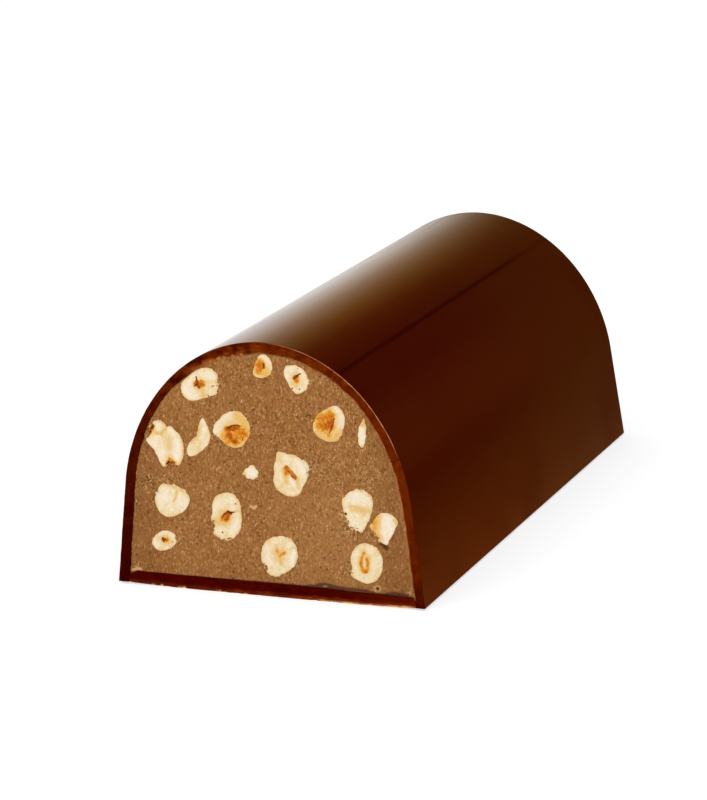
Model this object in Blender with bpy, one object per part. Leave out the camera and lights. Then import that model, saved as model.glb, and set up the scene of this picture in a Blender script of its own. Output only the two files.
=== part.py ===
"""A half-round hazelnut torrone: a chocolate shell closed by a chocolate base,
filled with praline, with whole and broken hazelnuts showing where its front
end has been cut off.

Metres, +Z up. The loaf lies along Y with the cut at its -Y end and the closed,
moulded end at +Y. The origin is the middle of its footprint.
"""

import math

import bmesh
import bpy

MM = 0.001

# Outside of the loaf
LOAF_LENGTH = 187.0 * MM
HALF_WIDTH = 45.0 * MM
SIDE_DRAFT = math.radians(6.6)
END_DRAFT = math.radians(6.0)
ARCH_HALF_SPAN = 42.1 * MM
ARCH_RISE = 48.5 * MM
ARCH_POWER = 1.98
ARCH_STEPS = 22
END_EDGE_RADIUS = 1.5 * MM
FOOT_EDGE_RADIUS = 0.8 * MM

# Layers
SHELL_THICKNESS = 2.7 * MM
BASE_THICKNESS = 3.3 * MM
BASE_CHAMFER = 1.2 * MM
GAP = 0.3 * MM

# Modelling: how far a cutter runs past what it cuts, how near two points count
# as one place, and the angle under which two faces count as one flat face
CUTTER_REACH = 4.0 * MM
NEAR = 0.1 * MM
WELD = 0.01 * MM
FLAT_ANGLE = math.radians(0.2)
SHARP_ANGLE = math.radians(30.0)

# A nut starts as a ball of radius 1: its points round and rings from pole to
# pole, and how near its middle plane or its axis a point counts as on it
NUT_SIDES = 24
NUT_RINGS = 8
ON_PLANE = 0.0001

FRONT = -LOAF_LENGTH / 2.0
BACK = LOAF_LENGTH / 2.0

# Each nut as it is cut: its centre across and above the floor, the half-axes
# of its section and their tilt, how deep it reaches behind the cut, all in
# millimetres and degrees, and its bumps: (direction, share of the radius that
# the outline stands out there, half-spread in degrees). A dent is negative.
NUTS = {
    "hazelnut_01": ((-17.6, 57.3), (5.9, 4.2), 25.0, 5.5,
                    [(285, -0.10, 30), (165, -0.06, 30), (128, -0.08, 30)]),
    "hazelnut_02": ((0.4, 63.7), (3.2, 2.7), 65.0, 3.6, [(45, -0.08, 35), (150, -0.08, 30)]),
    "hazelnut_03": ((10.0, 61.0), (4.0, 3.4), 110.0, 4.6, [(262, 0.10, 18), (215, -0.08, 30)]),
    "hazelnut_04": ((-28.9, 40.3), (6.3, 5.4), 90.0, 6.0,
                    [(163, 0.03, 18), (104, 0.10, 18), (222, -0.24, 26), (45, -0.15, 28), (306, 0.09, 22)]),
    "hazelnut_05": ((-18.2, 42.4), (3.6, 2.6), 65.0, 4.0,
                    [(84, 0.70, 20), (222, 0.82, 26), (140, -0.46, 34), (315, -0.12, 30)]),
    "hazelnut_06": ((-8.8, 45.8), (5.6, 5.1), 150.0, 5.6,
                    [(195, 0.10, 16), (66, 0.10, 18), (140, -0.07, 24)]),
    "hazelnut_07": ((19.1, 49.4), (5.0, 4.7), 60.0, 5.0, [(70, 0.10, 16), (130, -0.10, 24)]),
    "hazelnut_08": ((28.2, 47.3), (4.0, 1.1), 87.0, 2.2, []),
    "hazelnut_09": ((7.4, 34.4), (6.1, 5.2), 95.0, 6.2, [(122, 0.12, 14), (205, 0.04, 18)]),
    "hazelnut_10": ((-4.3, 34.3), (2.0, 1.9), 0.0, 2.0, [(75, 0.10, 20), (205, 0.16, 16)]),
    "hazelnut_11": ((-27.7, 24.3), (5.2, 4.7), 25.0, 5.4, [(245, 0.05, 16), (72, -0.08, 16)]),
    "hazelnut_12": ((-11.9, 21.3), (6.9, 4.7), 94.0, 5.8, [(236, 0.10, 20), (192, -0.03, 12)]),
    "hazelnut_13": ((-30.7, 12.8), (3.9, 2.8), 25.0, 3.4, [(135, -0.08, 30), (290, -0.05, 18)]),
    "hazelnut_14": ((3.6, 11.3), (6.1, 5.3), 65.0, 6.4, [(215, -0.07, 12), (312, -0.07, 28)]),
    "hazelnut_15": ((26.4, 26.0), (6.5, 4.4), 86.0, 5.4, [(308, -0.14, 26), (222, -0.12, 26)]),
    "hazelnut_16": ((34.3, 21.6), (4.2, 3.2), 70.0, 3.8,
                    [(24, 0.16, 16), (280, 0.16, 14), (110, 0.12, 16), (320, -0.16, 20)]),
    "hazelnut_17": ((28.6, 11.3), (5.8, 4.7), 86.0, 6.0, [(222, 0.15, 14), (196, -0.05, 14)]),
}

COLOURS = {
    "shell": ((0.058, 0.014, 0.004), 0.18),
    "base": ((0.052, 0.011, 0.004), 0.35),
    "filling": ((0.30, 0.165, 0.080), 0.75),
    "nut": ((0.85, 0.74, 0.50), 0.60),
}


def empty_scene():
    """Removes what is in the scene, and keeps the file open."""
    for thing in list(bpy.data.objects):
        bpy.data.objects.remove(thing, do_unlink=True)


def make_collection(name):
    """A collection linked to the scene."""
    collection = bpy.data.collections.new(name)
    bpy.context.scene.collection.children.link(collection)
    return collection


def make_material(name):
    """A Principled material with the colour and roughness listed for it."""
    colour, roughness = COLOURS[name]
    material = bpy.data.materials.new(name)
    material.use_nodes = True
    shader = material.node_tree.nodes["Principled BSDF"]
    shader.inputs["Base Color"].default_value = (*colour, 1.0)
    shader.inputs["Roughness"].default_value = roughness
    shader.inputs["Metallic"].default_value = 0.0
    return material


def make_object(name, mesh, collection, material=None):
    """An object for a finished mesh."""
    thing = bpy.data.objects.new(name, mesh)
    if material is not None:
        mesh.materials.append(material)
    collection.objects.link(thing)
    return thing


def arch_points(inset):
    """The arch `inset` inside the loaf's face, as (x, z) from its right spring over the crown.

    The arch is a superellipse that springs where its slope is that of the
    drafted wall, so the wall runs into it without a kink.
    """
    power = 2.0 / ARCH_POWER

    def on_arch(turn):
        return (
            ARCH_HALF_SPAN * math.cos(turn) ** power,
            ARCH_RISE * math.sin(turn) ** power,
        )

    def normal(x, z):
        across = (x / ARCH_HALF_SPAN) ** (ARCH_POWER - 1.0) / ARCH_HALF_SPAN
        up = (z / ARCH_RISE) ** (ARCH_POWER - 1.0) / ARCH_RISE
        length = math.hypot(across, up)
        return across / length, up / length

    low, high = 0.001, 1.0
    for _ in range(50):
        middle = (low + high) / 2.0
        across, up = normal(*on_arch(middle))
        if math.atan2(up, across) < SIDE_DRAFT:
            low = middle
        else:
            high = middle
    spring = low
    spring_x, spring_z = on_arch(spring)
    lift = (HALF_WIDTH - spring_x) / math.tan(SIDE_DRAFT) - spring_z

    points = []
    for step in range(ARCH_STEPS):
        turn = spring + (math.pi / 2.0 - spring) * step / ARCH_STEPS
        x, z = on_arch(turn)
        across, up = normal(x, z)
        points.append((x - inset * across, z + lift - inset * up))
    crown = (0.0, ARCH_RISE + lift - inset)
    left = [(-x, z) for x, z in reversed(points)]
    return points + [crown] + left


def wall_x(inset, height):
    """How far out the drafted wall is, `inset` inside the loaf's face, at a height."""
    return HALF_WIDTH - inset / math.cos(SIDE_DRAFT) - height * math.tan(SIDE_DRAFT)


def loaf_outline(inset, foot):
    """The half-round outline `inset` inside the loaf's face, down to the height `foot`."""
    out = wall_x(inset, foot)
    return [(out, foot)] + arch_points(inset) + [(-out, foot)]


def filling_outline():
    """The filling's outline: half-round, with corners that reach down past the base's chamfers."""
    inset = SHELL_THICKNESS + GAP
    floor = BASE_THICKNESS + GAP
    corner = floor - BASE_CHAMFER
    low_x = wall_x(inset, corner)
    flat_x = low_x - BASE_CHAMFER
    right = [(flat_x, floor), (low_x, corner)]
    left = [(-x, z) for x, z in reversed(right)]
    return right + arch_points(inset) + left


def base_outline():
    """The base's outline: a slab between the walls with chamfered upper edges."""
    inset = SHELL_THICKNESS + GAP
    corner = BASE_THICKNESS - BASE_CHAMFER
    foot_x = wall_x(inset, 0.0)
    corner_x = wall_x(inset, corner)
    flat_x = corner_x - BASE_CHAMFER
    right = [(foot_x, 0.0), (corner_x, corner), (flat_x, BASE_THICKNESS)]
    left = [(-x, z) for x, z in reversed(right)]
    return right + left


def prism_mesh(name, outline, front, back, end_draft):
    """A flat outline in X and Z, drawn out along Y. Its far end leans in by the draft."""
    curve = bpy.data.curves.new(name, "CURVE")
    curve.dimensions = "2D"
    curve.fill_mode = "BOTH"
    curve.extrude = (back - front) / 2.0
    spline = curve.splines.new("POLY")
    spline.points.add(len(outline) - 1)
    for point, (x, z) in zip(spline.points, outline):
        point.co = (x, z, 0.0, 1.0)
    spline.use_cyclic_u = True

    drawn = bpy.data.objects.new(name, curve)
    bpy.context.scene.collection.objects.link(drawn)
    drawn.rotation_euler = (math.pi / 2.0, 0.0, 0.0)
    drawn.location = (0.0, (front + back) / 2.0, 0.0)
    bpy.context.view_layer.update()
    evaluated = drawn.evaluated_get(bpy.context.evaluated_depsgraph_get())
    mesh = bpy.data.meshes.new_from_object(evaluated)
    place = drawn.matrix_world.copy()
    bpy.data.objects.remove(drawn, do_unlink=True)

    mesh.transform(place)
    work = bmesh.new()
    work.from_mesh(mesh)
    bmesh.ops.remove_doubles(work, verts=work.verts, dist=WELD)
    bmesh.ops.dissolve_limit(
        work, angle_limit=FLAT_ANGLE, verts=work.verts, edges=work.edges
    )
    middle = (front + back) / 2.0
    for vert in work.verts:
        if vert.co.y > middle:
            vert.co.y = back - vert.co.z * math.tan(end_draft)
        else:
            vert.co.y = front
    bmesh.ops.recalc_face_normals(work, faces=work.faces)
    work.to_mesh(mesh)
    work.free()
    return mesh


def end_of(inset):
    """Where the closed end meets the floor plane, `inset` inside its face."""
    return BACK - inset / math.cos(END_DRAFT)


def smooth(thing):
    """Shades the round faces smooth and keeps the sharp edges sharp."""
    thing.data.shade_smooth()
    thing.data.set_sharp_from_angle(angle=SHARP_ANGLE)


def round_edges(mesh, wanted, radius, segments):
    """Rounds the edges of a mesh that `wanted` picks by their two ends."""
    work = bmesh.new()
    work.from_mesh(mesh)
    edges = [edge for edge in work.edges if wanted(edge.verts[0].co, edge.verts[1].co)]
    bmesh.ops.bevel(
        work,
        geom=edges,
        offset=radius,
        offset_type="OFFSET",
        segments=segments,
        profile=0.5,
        affect="EDGES",
        clamp_overlap=True,
    )
    work.to_mesh(mesh)
    work.free()


def chocolate_shell(parts, cutters):
    """The moulded shell: walls, arch and closed end, hollow and open at the foot and the cut."""
    mesh = prism_mesh("chocolate_shell", loaf_outline(0.0, 0.0), FRONT, BACK, END_DRAFT)

    def on_end(a, b):
        return min(a.y, b.y) > 0.0 and max(a.z, b.z) > NEAR

    def on_foot(a, b):
        one_side = a.x * b.x > 0.0 and min(abs(a.x), abs(b.x)) > HALF_WIDTH - NEAR
        return one_side and max(a.z, b.z) < NEAR

    round_edges(mesh, on_end, END_EDGE_RADIUS, 3)
    round_edges(mesh, on_foot, FOOT_EDGE_RADIUS, 2)
    shell = make_object("chocolate_shell", mesh, parts, make_material("shell"))

    hollow = prism_mesh(
        "shell_hollow",
        loaf_outline(SHELL_THICKNESS, -CUTTER_REACH),
        FRONT - CUTTER_REACH,
        end_of(SHELL_THICKNESS),
        END_DRAFT,
    )
    cutter = make_object("shell_hollow", hollow, cutters)
    cut_with(shell, cutter)
    smooth(shell)


def chocolate_base(parts):
    """The layer that closes the filled shell underneath."""
    mesh = prism_mesh(
        "chocolate_base", base_outline(), FRONT, end_of(SHELL_THICKNESS + GAP), END_DRAFT
    )
    make_object("chocolate_base", mesh, parts, make_material("base"))


def angle_between(a, b):
    """The turn from one direction to another, in degrees, as the short way round."""
    return abs((a - b + 180.0) % 360.0 - 180.0)


def section_radius(nut, degrees):
    """How far a nut's cut outline is from its centre in a direction, in metres."""
    _, (long_half, short_half), tilt, _, bumps = nut
    turn = math.radians(degrees - tilt)
    radius = 1.0 / math.hypot(math.cos(turn) / long_half, math.sin(turn) / short_half)
    for direction, share, spread in bumps:
        radius *= 1.0 + share * math.exp(-((angle_between(degrees, direction) / spread) ** 2))
    return radius * MM


def nut_mesh(name, nut, grow, reach):
    """The kept part of a nut behind the cut: a half ball shaped to the cut outline.

    `grow` makes it that much larger all round, and `reach` draws its flat side
    forward past the cut.
    """
    (centre_x, centre_z), _, _, depth, _ = nut
    work = bmesh.new()
    bmesh.ops.create_uvsphere(work, u_segments=NUT_SIDES, v_segments=NUT_RINGS, radius=1.0)
    bmesh.ops.bisect_plane(
        work,
        geom=work.verts[:] + work.edges[:] + work.faces[:],
        dist=ON_PLANE,
        plane_co=(0.0, 0.0, 0.0),
        plane_no=(0.0, 0.0, 1.0),
        clear_inner=True,
    )
    rim = [edge for edge in work.edges if edge.is_boundary]
    face = bmesh.ops.edgenet_fill(work, edges=rim)["faces"]
    if reach > 0.0:
        drawn = bmesh.ops.extrude_face_region(work, geom=face)["geom"]
        ends = {part for part in drawn if isinstance(part, bmesh.types.BMVert)}
        bmesh.ops.delete(work, geom=face, context="FACES_ONLY")
    else:
        ends = set()
    for vert in work.verts:
        across, up, behind = vert.co
        ring = math.hypot(across, up)
        degrees = math.degrees(math.atan2(up, across)) if ring > ON_PLANE else 0.0
        radius = ring * (section_radius(nut, degrees) + grow)
        turn = math.radians(degrees)
        vert.co = (
            centre_x * MM + radius * math.cos(turn),
            FRONT - reach if vert in ends else FRONT + max(behind, 0.0) * (depth * MM + grow),
            centre_z * MM + radius * math.sin(turn),
        )
    bmesh.ops.recalc_face_normals(work, faces=work.faces)
    mesh = bpy.data.meshes.new(name)
    work.to_mesh(mesh)
    work.free()
    return mesh


def praline_filling(parts, cutters):
    """The filling that runs through the shell, with a pocket round each nut in the cut."""
    mesh = prism_mesh(
        "praline_filling", filling_outline(), FRONT, end_of(SHELL_THICKNESS + GAP), END_DRAFT
    )
    filling = make_object("praline_filling", mesh, parts, make_material("filling"))
    for name, nut in NUTS.items():
        pocket = nut_mesh("pocket_" + name, nut, GAP, CUTTER_REACH)
        cut_with(filling, make_object("pocket_" + name, pocket, cutters))
    smooth(filling)


def hazelnuts(parts):
    """The nuts, flush with the cut, each in its pocket."""
    material = make_material("nut")
    for name, nut in NUTS.items():
        smooth(make_object(name, nut_mesh(name, nut, 0.0, 0.0), parts, material))


def cut_with(thing, cutter):
    """Takes a cutter's shape out of an object."""
    cutter.hide_render = True
    cutter.display_type = "WIRE"
    cut = thing.modifiers.new(cutter.name, "BOOLEAN")
    cut.operation = "DIFFERENCE"
    cut.object = cutter


def build():
    empty_scene()
    parts = make_collection("hazelnut_torrone")
    cutters = make_collection("cutters")
    chocolate_shell(parts, cutters)
    chocolate_base(parts)
    praline_filling(parts, cutters)
    hazelnuts(parts)


build()
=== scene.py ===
"""How the hazelnut torrone looks: a glossy moulded chocolate shell, the chocolate
base that closes it, and the cut through the praline and its hazelnuts.

Metres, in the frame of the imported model: the loaf lies along Y with its cut at
the -Y end. Sizes at the top are in millimetres.
"""

import math

import bmesh
import bpy
import numpy as np
from mathutils import Matrix, Vector


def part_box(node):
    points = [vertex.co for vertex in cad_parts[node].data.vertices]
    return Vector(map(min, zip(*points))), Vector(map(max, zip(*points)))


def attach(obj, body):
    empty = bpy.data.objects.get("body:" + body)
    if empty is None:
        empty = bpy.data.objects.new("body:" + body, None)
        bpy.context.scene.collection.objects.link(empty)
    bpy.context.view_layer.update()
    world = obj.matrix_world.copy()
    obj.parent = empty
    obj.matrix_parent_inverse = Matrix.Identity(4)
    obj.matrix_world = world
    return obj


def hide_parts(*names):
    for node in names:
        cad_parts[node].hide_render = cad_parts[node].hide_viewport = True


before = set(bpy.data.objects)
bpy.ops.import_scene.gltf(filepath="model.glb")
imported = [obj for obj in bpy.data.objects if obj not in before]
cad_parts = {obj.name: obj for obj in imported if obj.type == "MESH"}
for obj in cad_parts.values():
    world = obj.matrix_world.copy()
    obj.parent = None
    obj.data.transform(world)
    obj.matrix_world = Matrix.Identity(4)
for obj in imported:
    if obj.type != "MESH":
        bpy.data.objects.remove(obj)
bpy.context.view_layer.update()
NUT_NODES = sorted(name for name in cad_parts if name.startswith("hazelnut_"))

MM = 0.001

# The loaf, as its solids are made
LOAF_LOW, LOAF_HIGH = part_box("chocolate_shell")
HALF_WIDTH = 45.0
FRONT = LOAF_LOW.y / MM
BACK = LOAF_HIGH.y / MM
SIDE_DRAFT = math.radians(6.6)
END_DRAFT = math.radians(6.0)
ARCH_HALF_SPAN = 42.1
ARCH_RISE = 48.5
ARCH_POWER = 1.98
END_EDGE_RADIUS = 1.5
FOOT_EDGE_RADIUS = 0.8
LOAF_HEIGHT = 70.5

# The shell. The lists give a value at shares of the way round its cut rim, from
# the left foot over the crown to the right foot: the wall's thickness, the painted
# light and shade on the cut, how blotchy it is, how far chips reach, and the painted
# highlights along its inner and outer edges.
WALL_THICKNESS = 2.7
RIM_LENGTH = 210.0
LIP_RADIUS = 0.15
# Where the painted dark line at the sheen's edge meets the rim, across in millimetres
SHEEN_EDGE_X = 22.0
RIM_WALL = [
    (0.0, 3.2), (0.08, 3.05), (0.2, 2.75), (0.26, 2.3), (0.32, 2.45), (0.4, 2.7), (0.43, 3.0), (0.45, 3.35),
    (0.47, 3.3), (0.5, 3.0), (0.54, 2.8), (0.62, 2.6), (0.67, 2.35), (0.72, 2.6), (0.8, 2.8), (0.88, 2.6),
    (1.0, 2.6),
]
RIM_PAINTED_LIGHT = [
    (0.0, 0.0), (0.12, 0.15), (0.25, 0.35), (0.36, 0.75), (0.5, 1.0), (0.85, 0.95), (0.95, 0.6), (1.0, 0.1),
]
RIM_BLOTCHES = [(0.0, 0.0), (0.24, 0.2), (0.32, 1.0), (0.46, 1.0), (0.52, 0.25), (1.0, 0.2)]
RIM_CHIPS = [(0.412, 0.3), (0.427, 0.6), (0.437, 0.3), (0.452, 0.5), (0.467, 0.4)]
LIP_LIGHT = [
    (0.0, 0.0), (0.36, 0.0), (0.4, 0.3), (0.48, 0.15), (0.6, 0.1), (0.68, 0.35), (0.74, 0.8), (1.0, 0.7),
]
ARRIS_LIGHT = [
    (0.0, 0.45), (0.28, 0.4), (0.34, 0.2), (0.5, 0.0), (0.54, 0.7), (0.6, 0.6), (0.66, 1.0), (0.74, 0.9),
    (0.79, 0.0), (1.0, 0.0),
]

# The base: its height on the cut and how far that falls to the right, its edges,
# the places where glints are painted along its front edge, each with its reach, and how far
# its underside bows down
BASE_TOP = 3.35
BASE_FALL = 0.6
BASE_SIDE_CHAMFER = 1.3
BASE_EDGE_RADIUS = 0.45
BASE_GLINTS = [(-34.6, 0.6), (-32.0, 0.5), (-26.0, 1.4), (-15.0, 0.9), (-7.0, 0.7), (28.0, 16.0)]
UNDERSIDE_BOW = 0.6

# The praline: how far it is tucked under the shell and the base, and how deep it
# is sunk behind the nuts
TUCK = 0.5
POCKET_DEPTH = 1.2

# Mesh fineness: steps round the section, across the base and round and over a
# nut, and the size of a cell on the cut
ROUND_STEPS = 440
BASE_STEPS = 264
NUT_SIDES = 168
NUT_RINGS = 84
CELL = 0.32

# Places on the cut where the praline or a nut's edge broke up instead of cutting
# clean: the middle, the reach and how crumbly it is
CRUMBLY = [
    ((-34.5, 28.8), 4.0, 1.0), ((-29.0, 31.0), 3.5, 0.7), ((-24.0, 28.0), 2.5, 0.4), ((-39.6, 5.2), 1.8, 1.0),
    ((13.5, 38.0), 4.5, 0.7), ((17.0, 34.5), 5.0, 0.6), ((21.0, 39.0), 4.0, 0.5), ((30.0, 36.0), 6.5, 0.7),
    ((24.0, 19.5), 4.5, 1.0), ((31.4, 19.0), 2.3, 0.9), ((22.7, 24.0), 2.6, 1.0), ((31.2, 21.2), 1.7, 0.8),
    ((-20.0, 12.0), 3.0, 0.4), ((-33.2, 44.5), 2.2, 1.0), ((-16.8, 17.6), 2.4, 0.55),
    ((-13.0, 13.8), 2.4, 0.5), ((-13.2, 57.5), 2.2, 0.7), ((-26.8, 12.8), 1.8, 0.7), ((12.8, 60.5), 1.8, 0.6),
    ((23.0, 9.0), 2.2, 0.9), ((-1.0, 8.0), 1.2, 0.9), ((40.6, 4.6), 1.6, 0.9), ((-3.8, 34.2), 3.0, 0.25),
    ((-12.6, 59.6), 1.8, 0.5), ((-28.6, 34.0), 1.6, 0.8), ((-34.2, 43.0), 1.6, 0.8),
    ((-13.6, 44.4), 1.4, 0.5),
]

# What else shows on the praline: strokes of (kind, half-width, strength, points along it)
PRALINE_MARKS = [
    ("lump", 0.5, 1.0, (-4.6, 24.7), (-3.5, 24.2), (-3.0, 24.8)), ("lump", 0.35, 1.0, (-38.6, 23.5)),
    ("lump", 0.45, 0.9, (-40.8, 3.4), (-39.2, 4.0), (-38.0, 3.9)),
    ("lump", 1.2, 0.9, (31.4, 4.4), (31.6, 4.5)), ("pit", 0.8, 1.0, (31.5, 4.4)),
    ("pit", 0.8, 1.2, (32.6, 17.4), (34.3, 16.1)), ("pit", 0.4, 0.9, (31.2, 18.8), (33.0, 17.0)),
    # The next three strokes are painted glints on the smear, kept as lumps
    ("lump", 0.22, 0.8, (15.9, 3.8), (16.9, 3.9)), ("lump", 0.22, 0.7, (20.2, 3.7)),
    ("lump", 0.2, 0.6, (22.5, 3.7)),
]

# The smear of shell chocolate that the knife drew over the praline: its upper
# edge, left to right
SMEAR_EDGE = [
    (-16.0, 3.2), (-13.0, 3.45), (-2.0, 3.6), (6.0, 3.6), (10.0, 3.7), (12.5, 4.0), (15.0, 4.7), (17.0, 4.9),
    (19.0, 4.3), (25.0, 4.1), (29.0, 4.0), (31.0, 3.3), (33.0, 3.3), (36.0, 4.1), (39.0, 4.0), (41.8, 2.6),
]

# Nuts whose cut outline is more particular than its solid: points round each
NUT_EDGES = {
    "hazelnut_01": [
        (-23.9, 56.5), (-21.9, 59.5), (-20.2, 60.8), (-18.2, 62.0), (-15.9, 62.6), (-14.2, 62.2),
        (-13.1, 60.8), (-12.8, 59.2), (-12.5, 58.0), (-12.9, 56.7), (-13.5, 55.2), (-15.2, 54.7),
        (-17.7, 53.8), (-19.9, 53.1), (-21.9, 53.2), (-23.2, 54.3),
    ],
    "hazelnut_02": [
        (0.4, 67.3), (2.1, 66.7), (3.1, 65.0), (3.2, 63.3), (2.6, 62.0), (0.9, 60.9), (-0.7, 60.7),
        (-2.2, 61.2), (-2.5, 62.0), (-2.1, 63.7), (-1.2, 65.6), (-0.6, 66.8),
    ],
    "hazelnut_03": [
        (8.9, 64.9), (10.7, 64.7), (12.2, 63.7), (13.2, 62.3), (13.6, 60.7), (13.1, 58.8), (11.9, 57.7),
        (11.1, 57.2), (9.7, 56.9), (9.0, 57.6), (8.2, 58.5), (7.5, 59.8), (6.8, 61.0), (6.4, 62.3),
        (6.6, 63.7), (7.6, 64.7),
    ],
    "hazelnut_04": [
        (-30.7, 47.0), (-29.3, 46.5), (-28.5, 45.4), (-27.3, 45.5), (-25.7, 44.3), (-24.5, 42.8),
        (-23.8, 41.2), (-23.6, 39.6), (-23.8, 37.6), (-24.4, 35.8), (-25.3, 34.6), (-26.8, 34.6),
        (-28.2, 34.7), (-29.8, 33.9), (-30.8, 34.6), (-31.6, 36.5), (-32.6, 38.3), (-33.9, 39.7),
        (-34.9, 41.4), (-34.2, 43.0), (-33.4, 44.9), (-32.6, 46.3),
    ],
    "hazelnut_05": [
        (-17.7, 48.4), (-16.7, 46.8), (-16.0, 45.2), (-15.6, 43.8), (-15.9, 42.6), (-16.1, 41.6),
        (-17.3, 40.2), (-18.8, 38.8), (-20.7, 37.7), (-22.2, 37.4), (-22.9, 38.8), (-22.3, 40.8),
        (-21.0, 42.3), (-19.8, 43.3), (-19.3, 44.8), (-19.0, 46.5), (-18.3, 47.9),
    ],
    "hazelnut_06": [
        (-7.7, 51.1), (-6.1, 50.7), (-5.1, 49.6), (-4.2, 48.2), (-3.9, 46.5), (-4.1, 44.8), (-4.9, 43.2),
        (-6.1, 41.7), (-7.4, 40.8), (-9.1, 40.7), (-10.9, 41.3), (-12.4, 42.5), (-13.7, 43.7), (-14.9, 44.4),
        (-14.7, 45.8), (-14.1, 47.2), (-12.9, 48.7), (-11.4, 50.0), (-9.7, 50.8),
    ],
    "hazelnut_07": [
        (20.9, 54.6), (22.1, 54.0), (23.1, 52.7), (23.6, 51.3), (23.5, 49.7), (23.0, 48.0), (22.6, 46.5),
        (21.8, 45.3), (20.5, 44.6), (18.4, 44.4), (16.8, 44.9), (15.3, 45.8), (14.4, 47.0), (14.2, 48.3),
        (14.6, 49.7), (15.4, 51.2), (16.8, 52.6), (18.3, 53.5), (19.8, 54.2),
    ],
    "hazelnut_08": [
        (28.9, 51.6), (29.2, 50.1), (29.4, 47.8), (29.2, 45.8), (28.8, 43.9), (28.3, 43.4), (27.6, 44.0),
        (27.2, 46.1), (27.3, 47.9), (27.9, 49.7), (28.5, 50.8),
    ],
    "hazelnut_09": [
        (3.7, 40.3), (5.2, 40.6), (7.2, 40.1), (9.5, 39.8), (11.5, 38.5), (12.5, 36.8), (12.8, 35.1),
        (12.2, 33.4), (11.0, 31.4), (10.2, 29.5), (8.9, 28.5), (6.9, 28.2), (4.6, 29.0), (3.0, 30.3),
        (2.3, 32.0), (2.6, 34.3), (2.5, 36.2), (3.3, 38.3),
    ],
    "hazelnut_10": [
        (-5.8, 35.0), (-5.0, 35.5), (-4.3, 36.2), (-3.4, 36.2), (-2.7, 35.6), (-2.2, 34.9), (-2.1, 33.7),
        (-2.6, 32.7), (-3.5, 32.1), (-4.4, 32.5), (-5.4, 32.4), (-5.9, 33.2), (-6.8, 33.5), (-6.2, 34.2),
    ],
    "hazelnut_11": [
        (-30.4, 28.9), (-28.6, 29.3), (-26.8, 29.1), (-25.4, 28.5), (-24.1, 27.9), (-23.1, 26.8),
        (-22.6, 25.2), (-22.8, 23.5), (-24.0, 21.9), (-25.9, 20.6), (-27.9, 19.8), (-29.7, 19.6),
        (-31.1, 20.3), (-32.3, 21.5), (-32.9, 22.9), (-33.0, 24.5), (-32.7, 26.1), (-31.8, 27.7),
    ],
    "hazelnut_12": [
        (-11.2, 28.2), (-8.9, 27.2), (-7.8, 25.4), (-7.4, 22.6), (-7.1, 20.8), (-7.6, 18.5), (-8.5, 16.5),
        (-10.1, 14.9), (-13.3, 14.4), (-14.6, 14.9), (-15.9, 15.8), (-16.0, 17.2), (-15.2, 18.2),
        (-16.1, 19.2), (-16.5, 20.4), (-15.9, 22.2), (-15.8, 24.5), (-14.9, 26.5), (-13.3, 27.6),
    ],
    "hazelnut_14": [
        (3.6, 17.0), (5.9, 16.7), (7.6, 15.7), (8.4, 14.2), (8.8, 12.0), (8.5, 10.2), (7.6, 8.7), (6.3, 7.3),
        (4.4, 6.2), (2.9, 5.4), (1.3, 5.2), (-0.2, 5.9), (-0.8, 6.9), (-0.7, 7.8), (-1.9, 9.0), (-2.1, 11.0),
        (-1.8, 13.0), (-0.7, 15.0), (1.1, 16.3),
    ],
    "hazelnut_15": [
        (24.7, 31.3), (23.3, 30.2), (22.3, 29.0), (22.0, 27.6), (22.3, 26.0), (22.6, 24.6), (22.7, 23.2),
        (23.7, 21.7), (25.0, 20.4), (26.2, 19.4), (27.2, 19.3), (28.0, 20.2), (28.8, 21.8), (29.8, 23.8),
        (30.5, 25.8), (30.9, 27.8), (30.7, 29.5), (30.0, 30.9), (28.5, 31.9), (26.5, 32.0),
    ],
    "hazelnut_16": [
        (33.2, 25.8), (34.8, 25.8), (36.4, 25.3), (37.2, 24.6), (37.8, 23.3), (37.1, 21.8), (36.2, 19.8),
        (35.2, 18.2), (34.8, 17.0), (33.6, 17.2), (31.9, 18.5), (30.7, 19.8), (30.3, 21.5), (31.0, 23.5),
        (31.8, 24.8),
    ],
}

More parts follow.
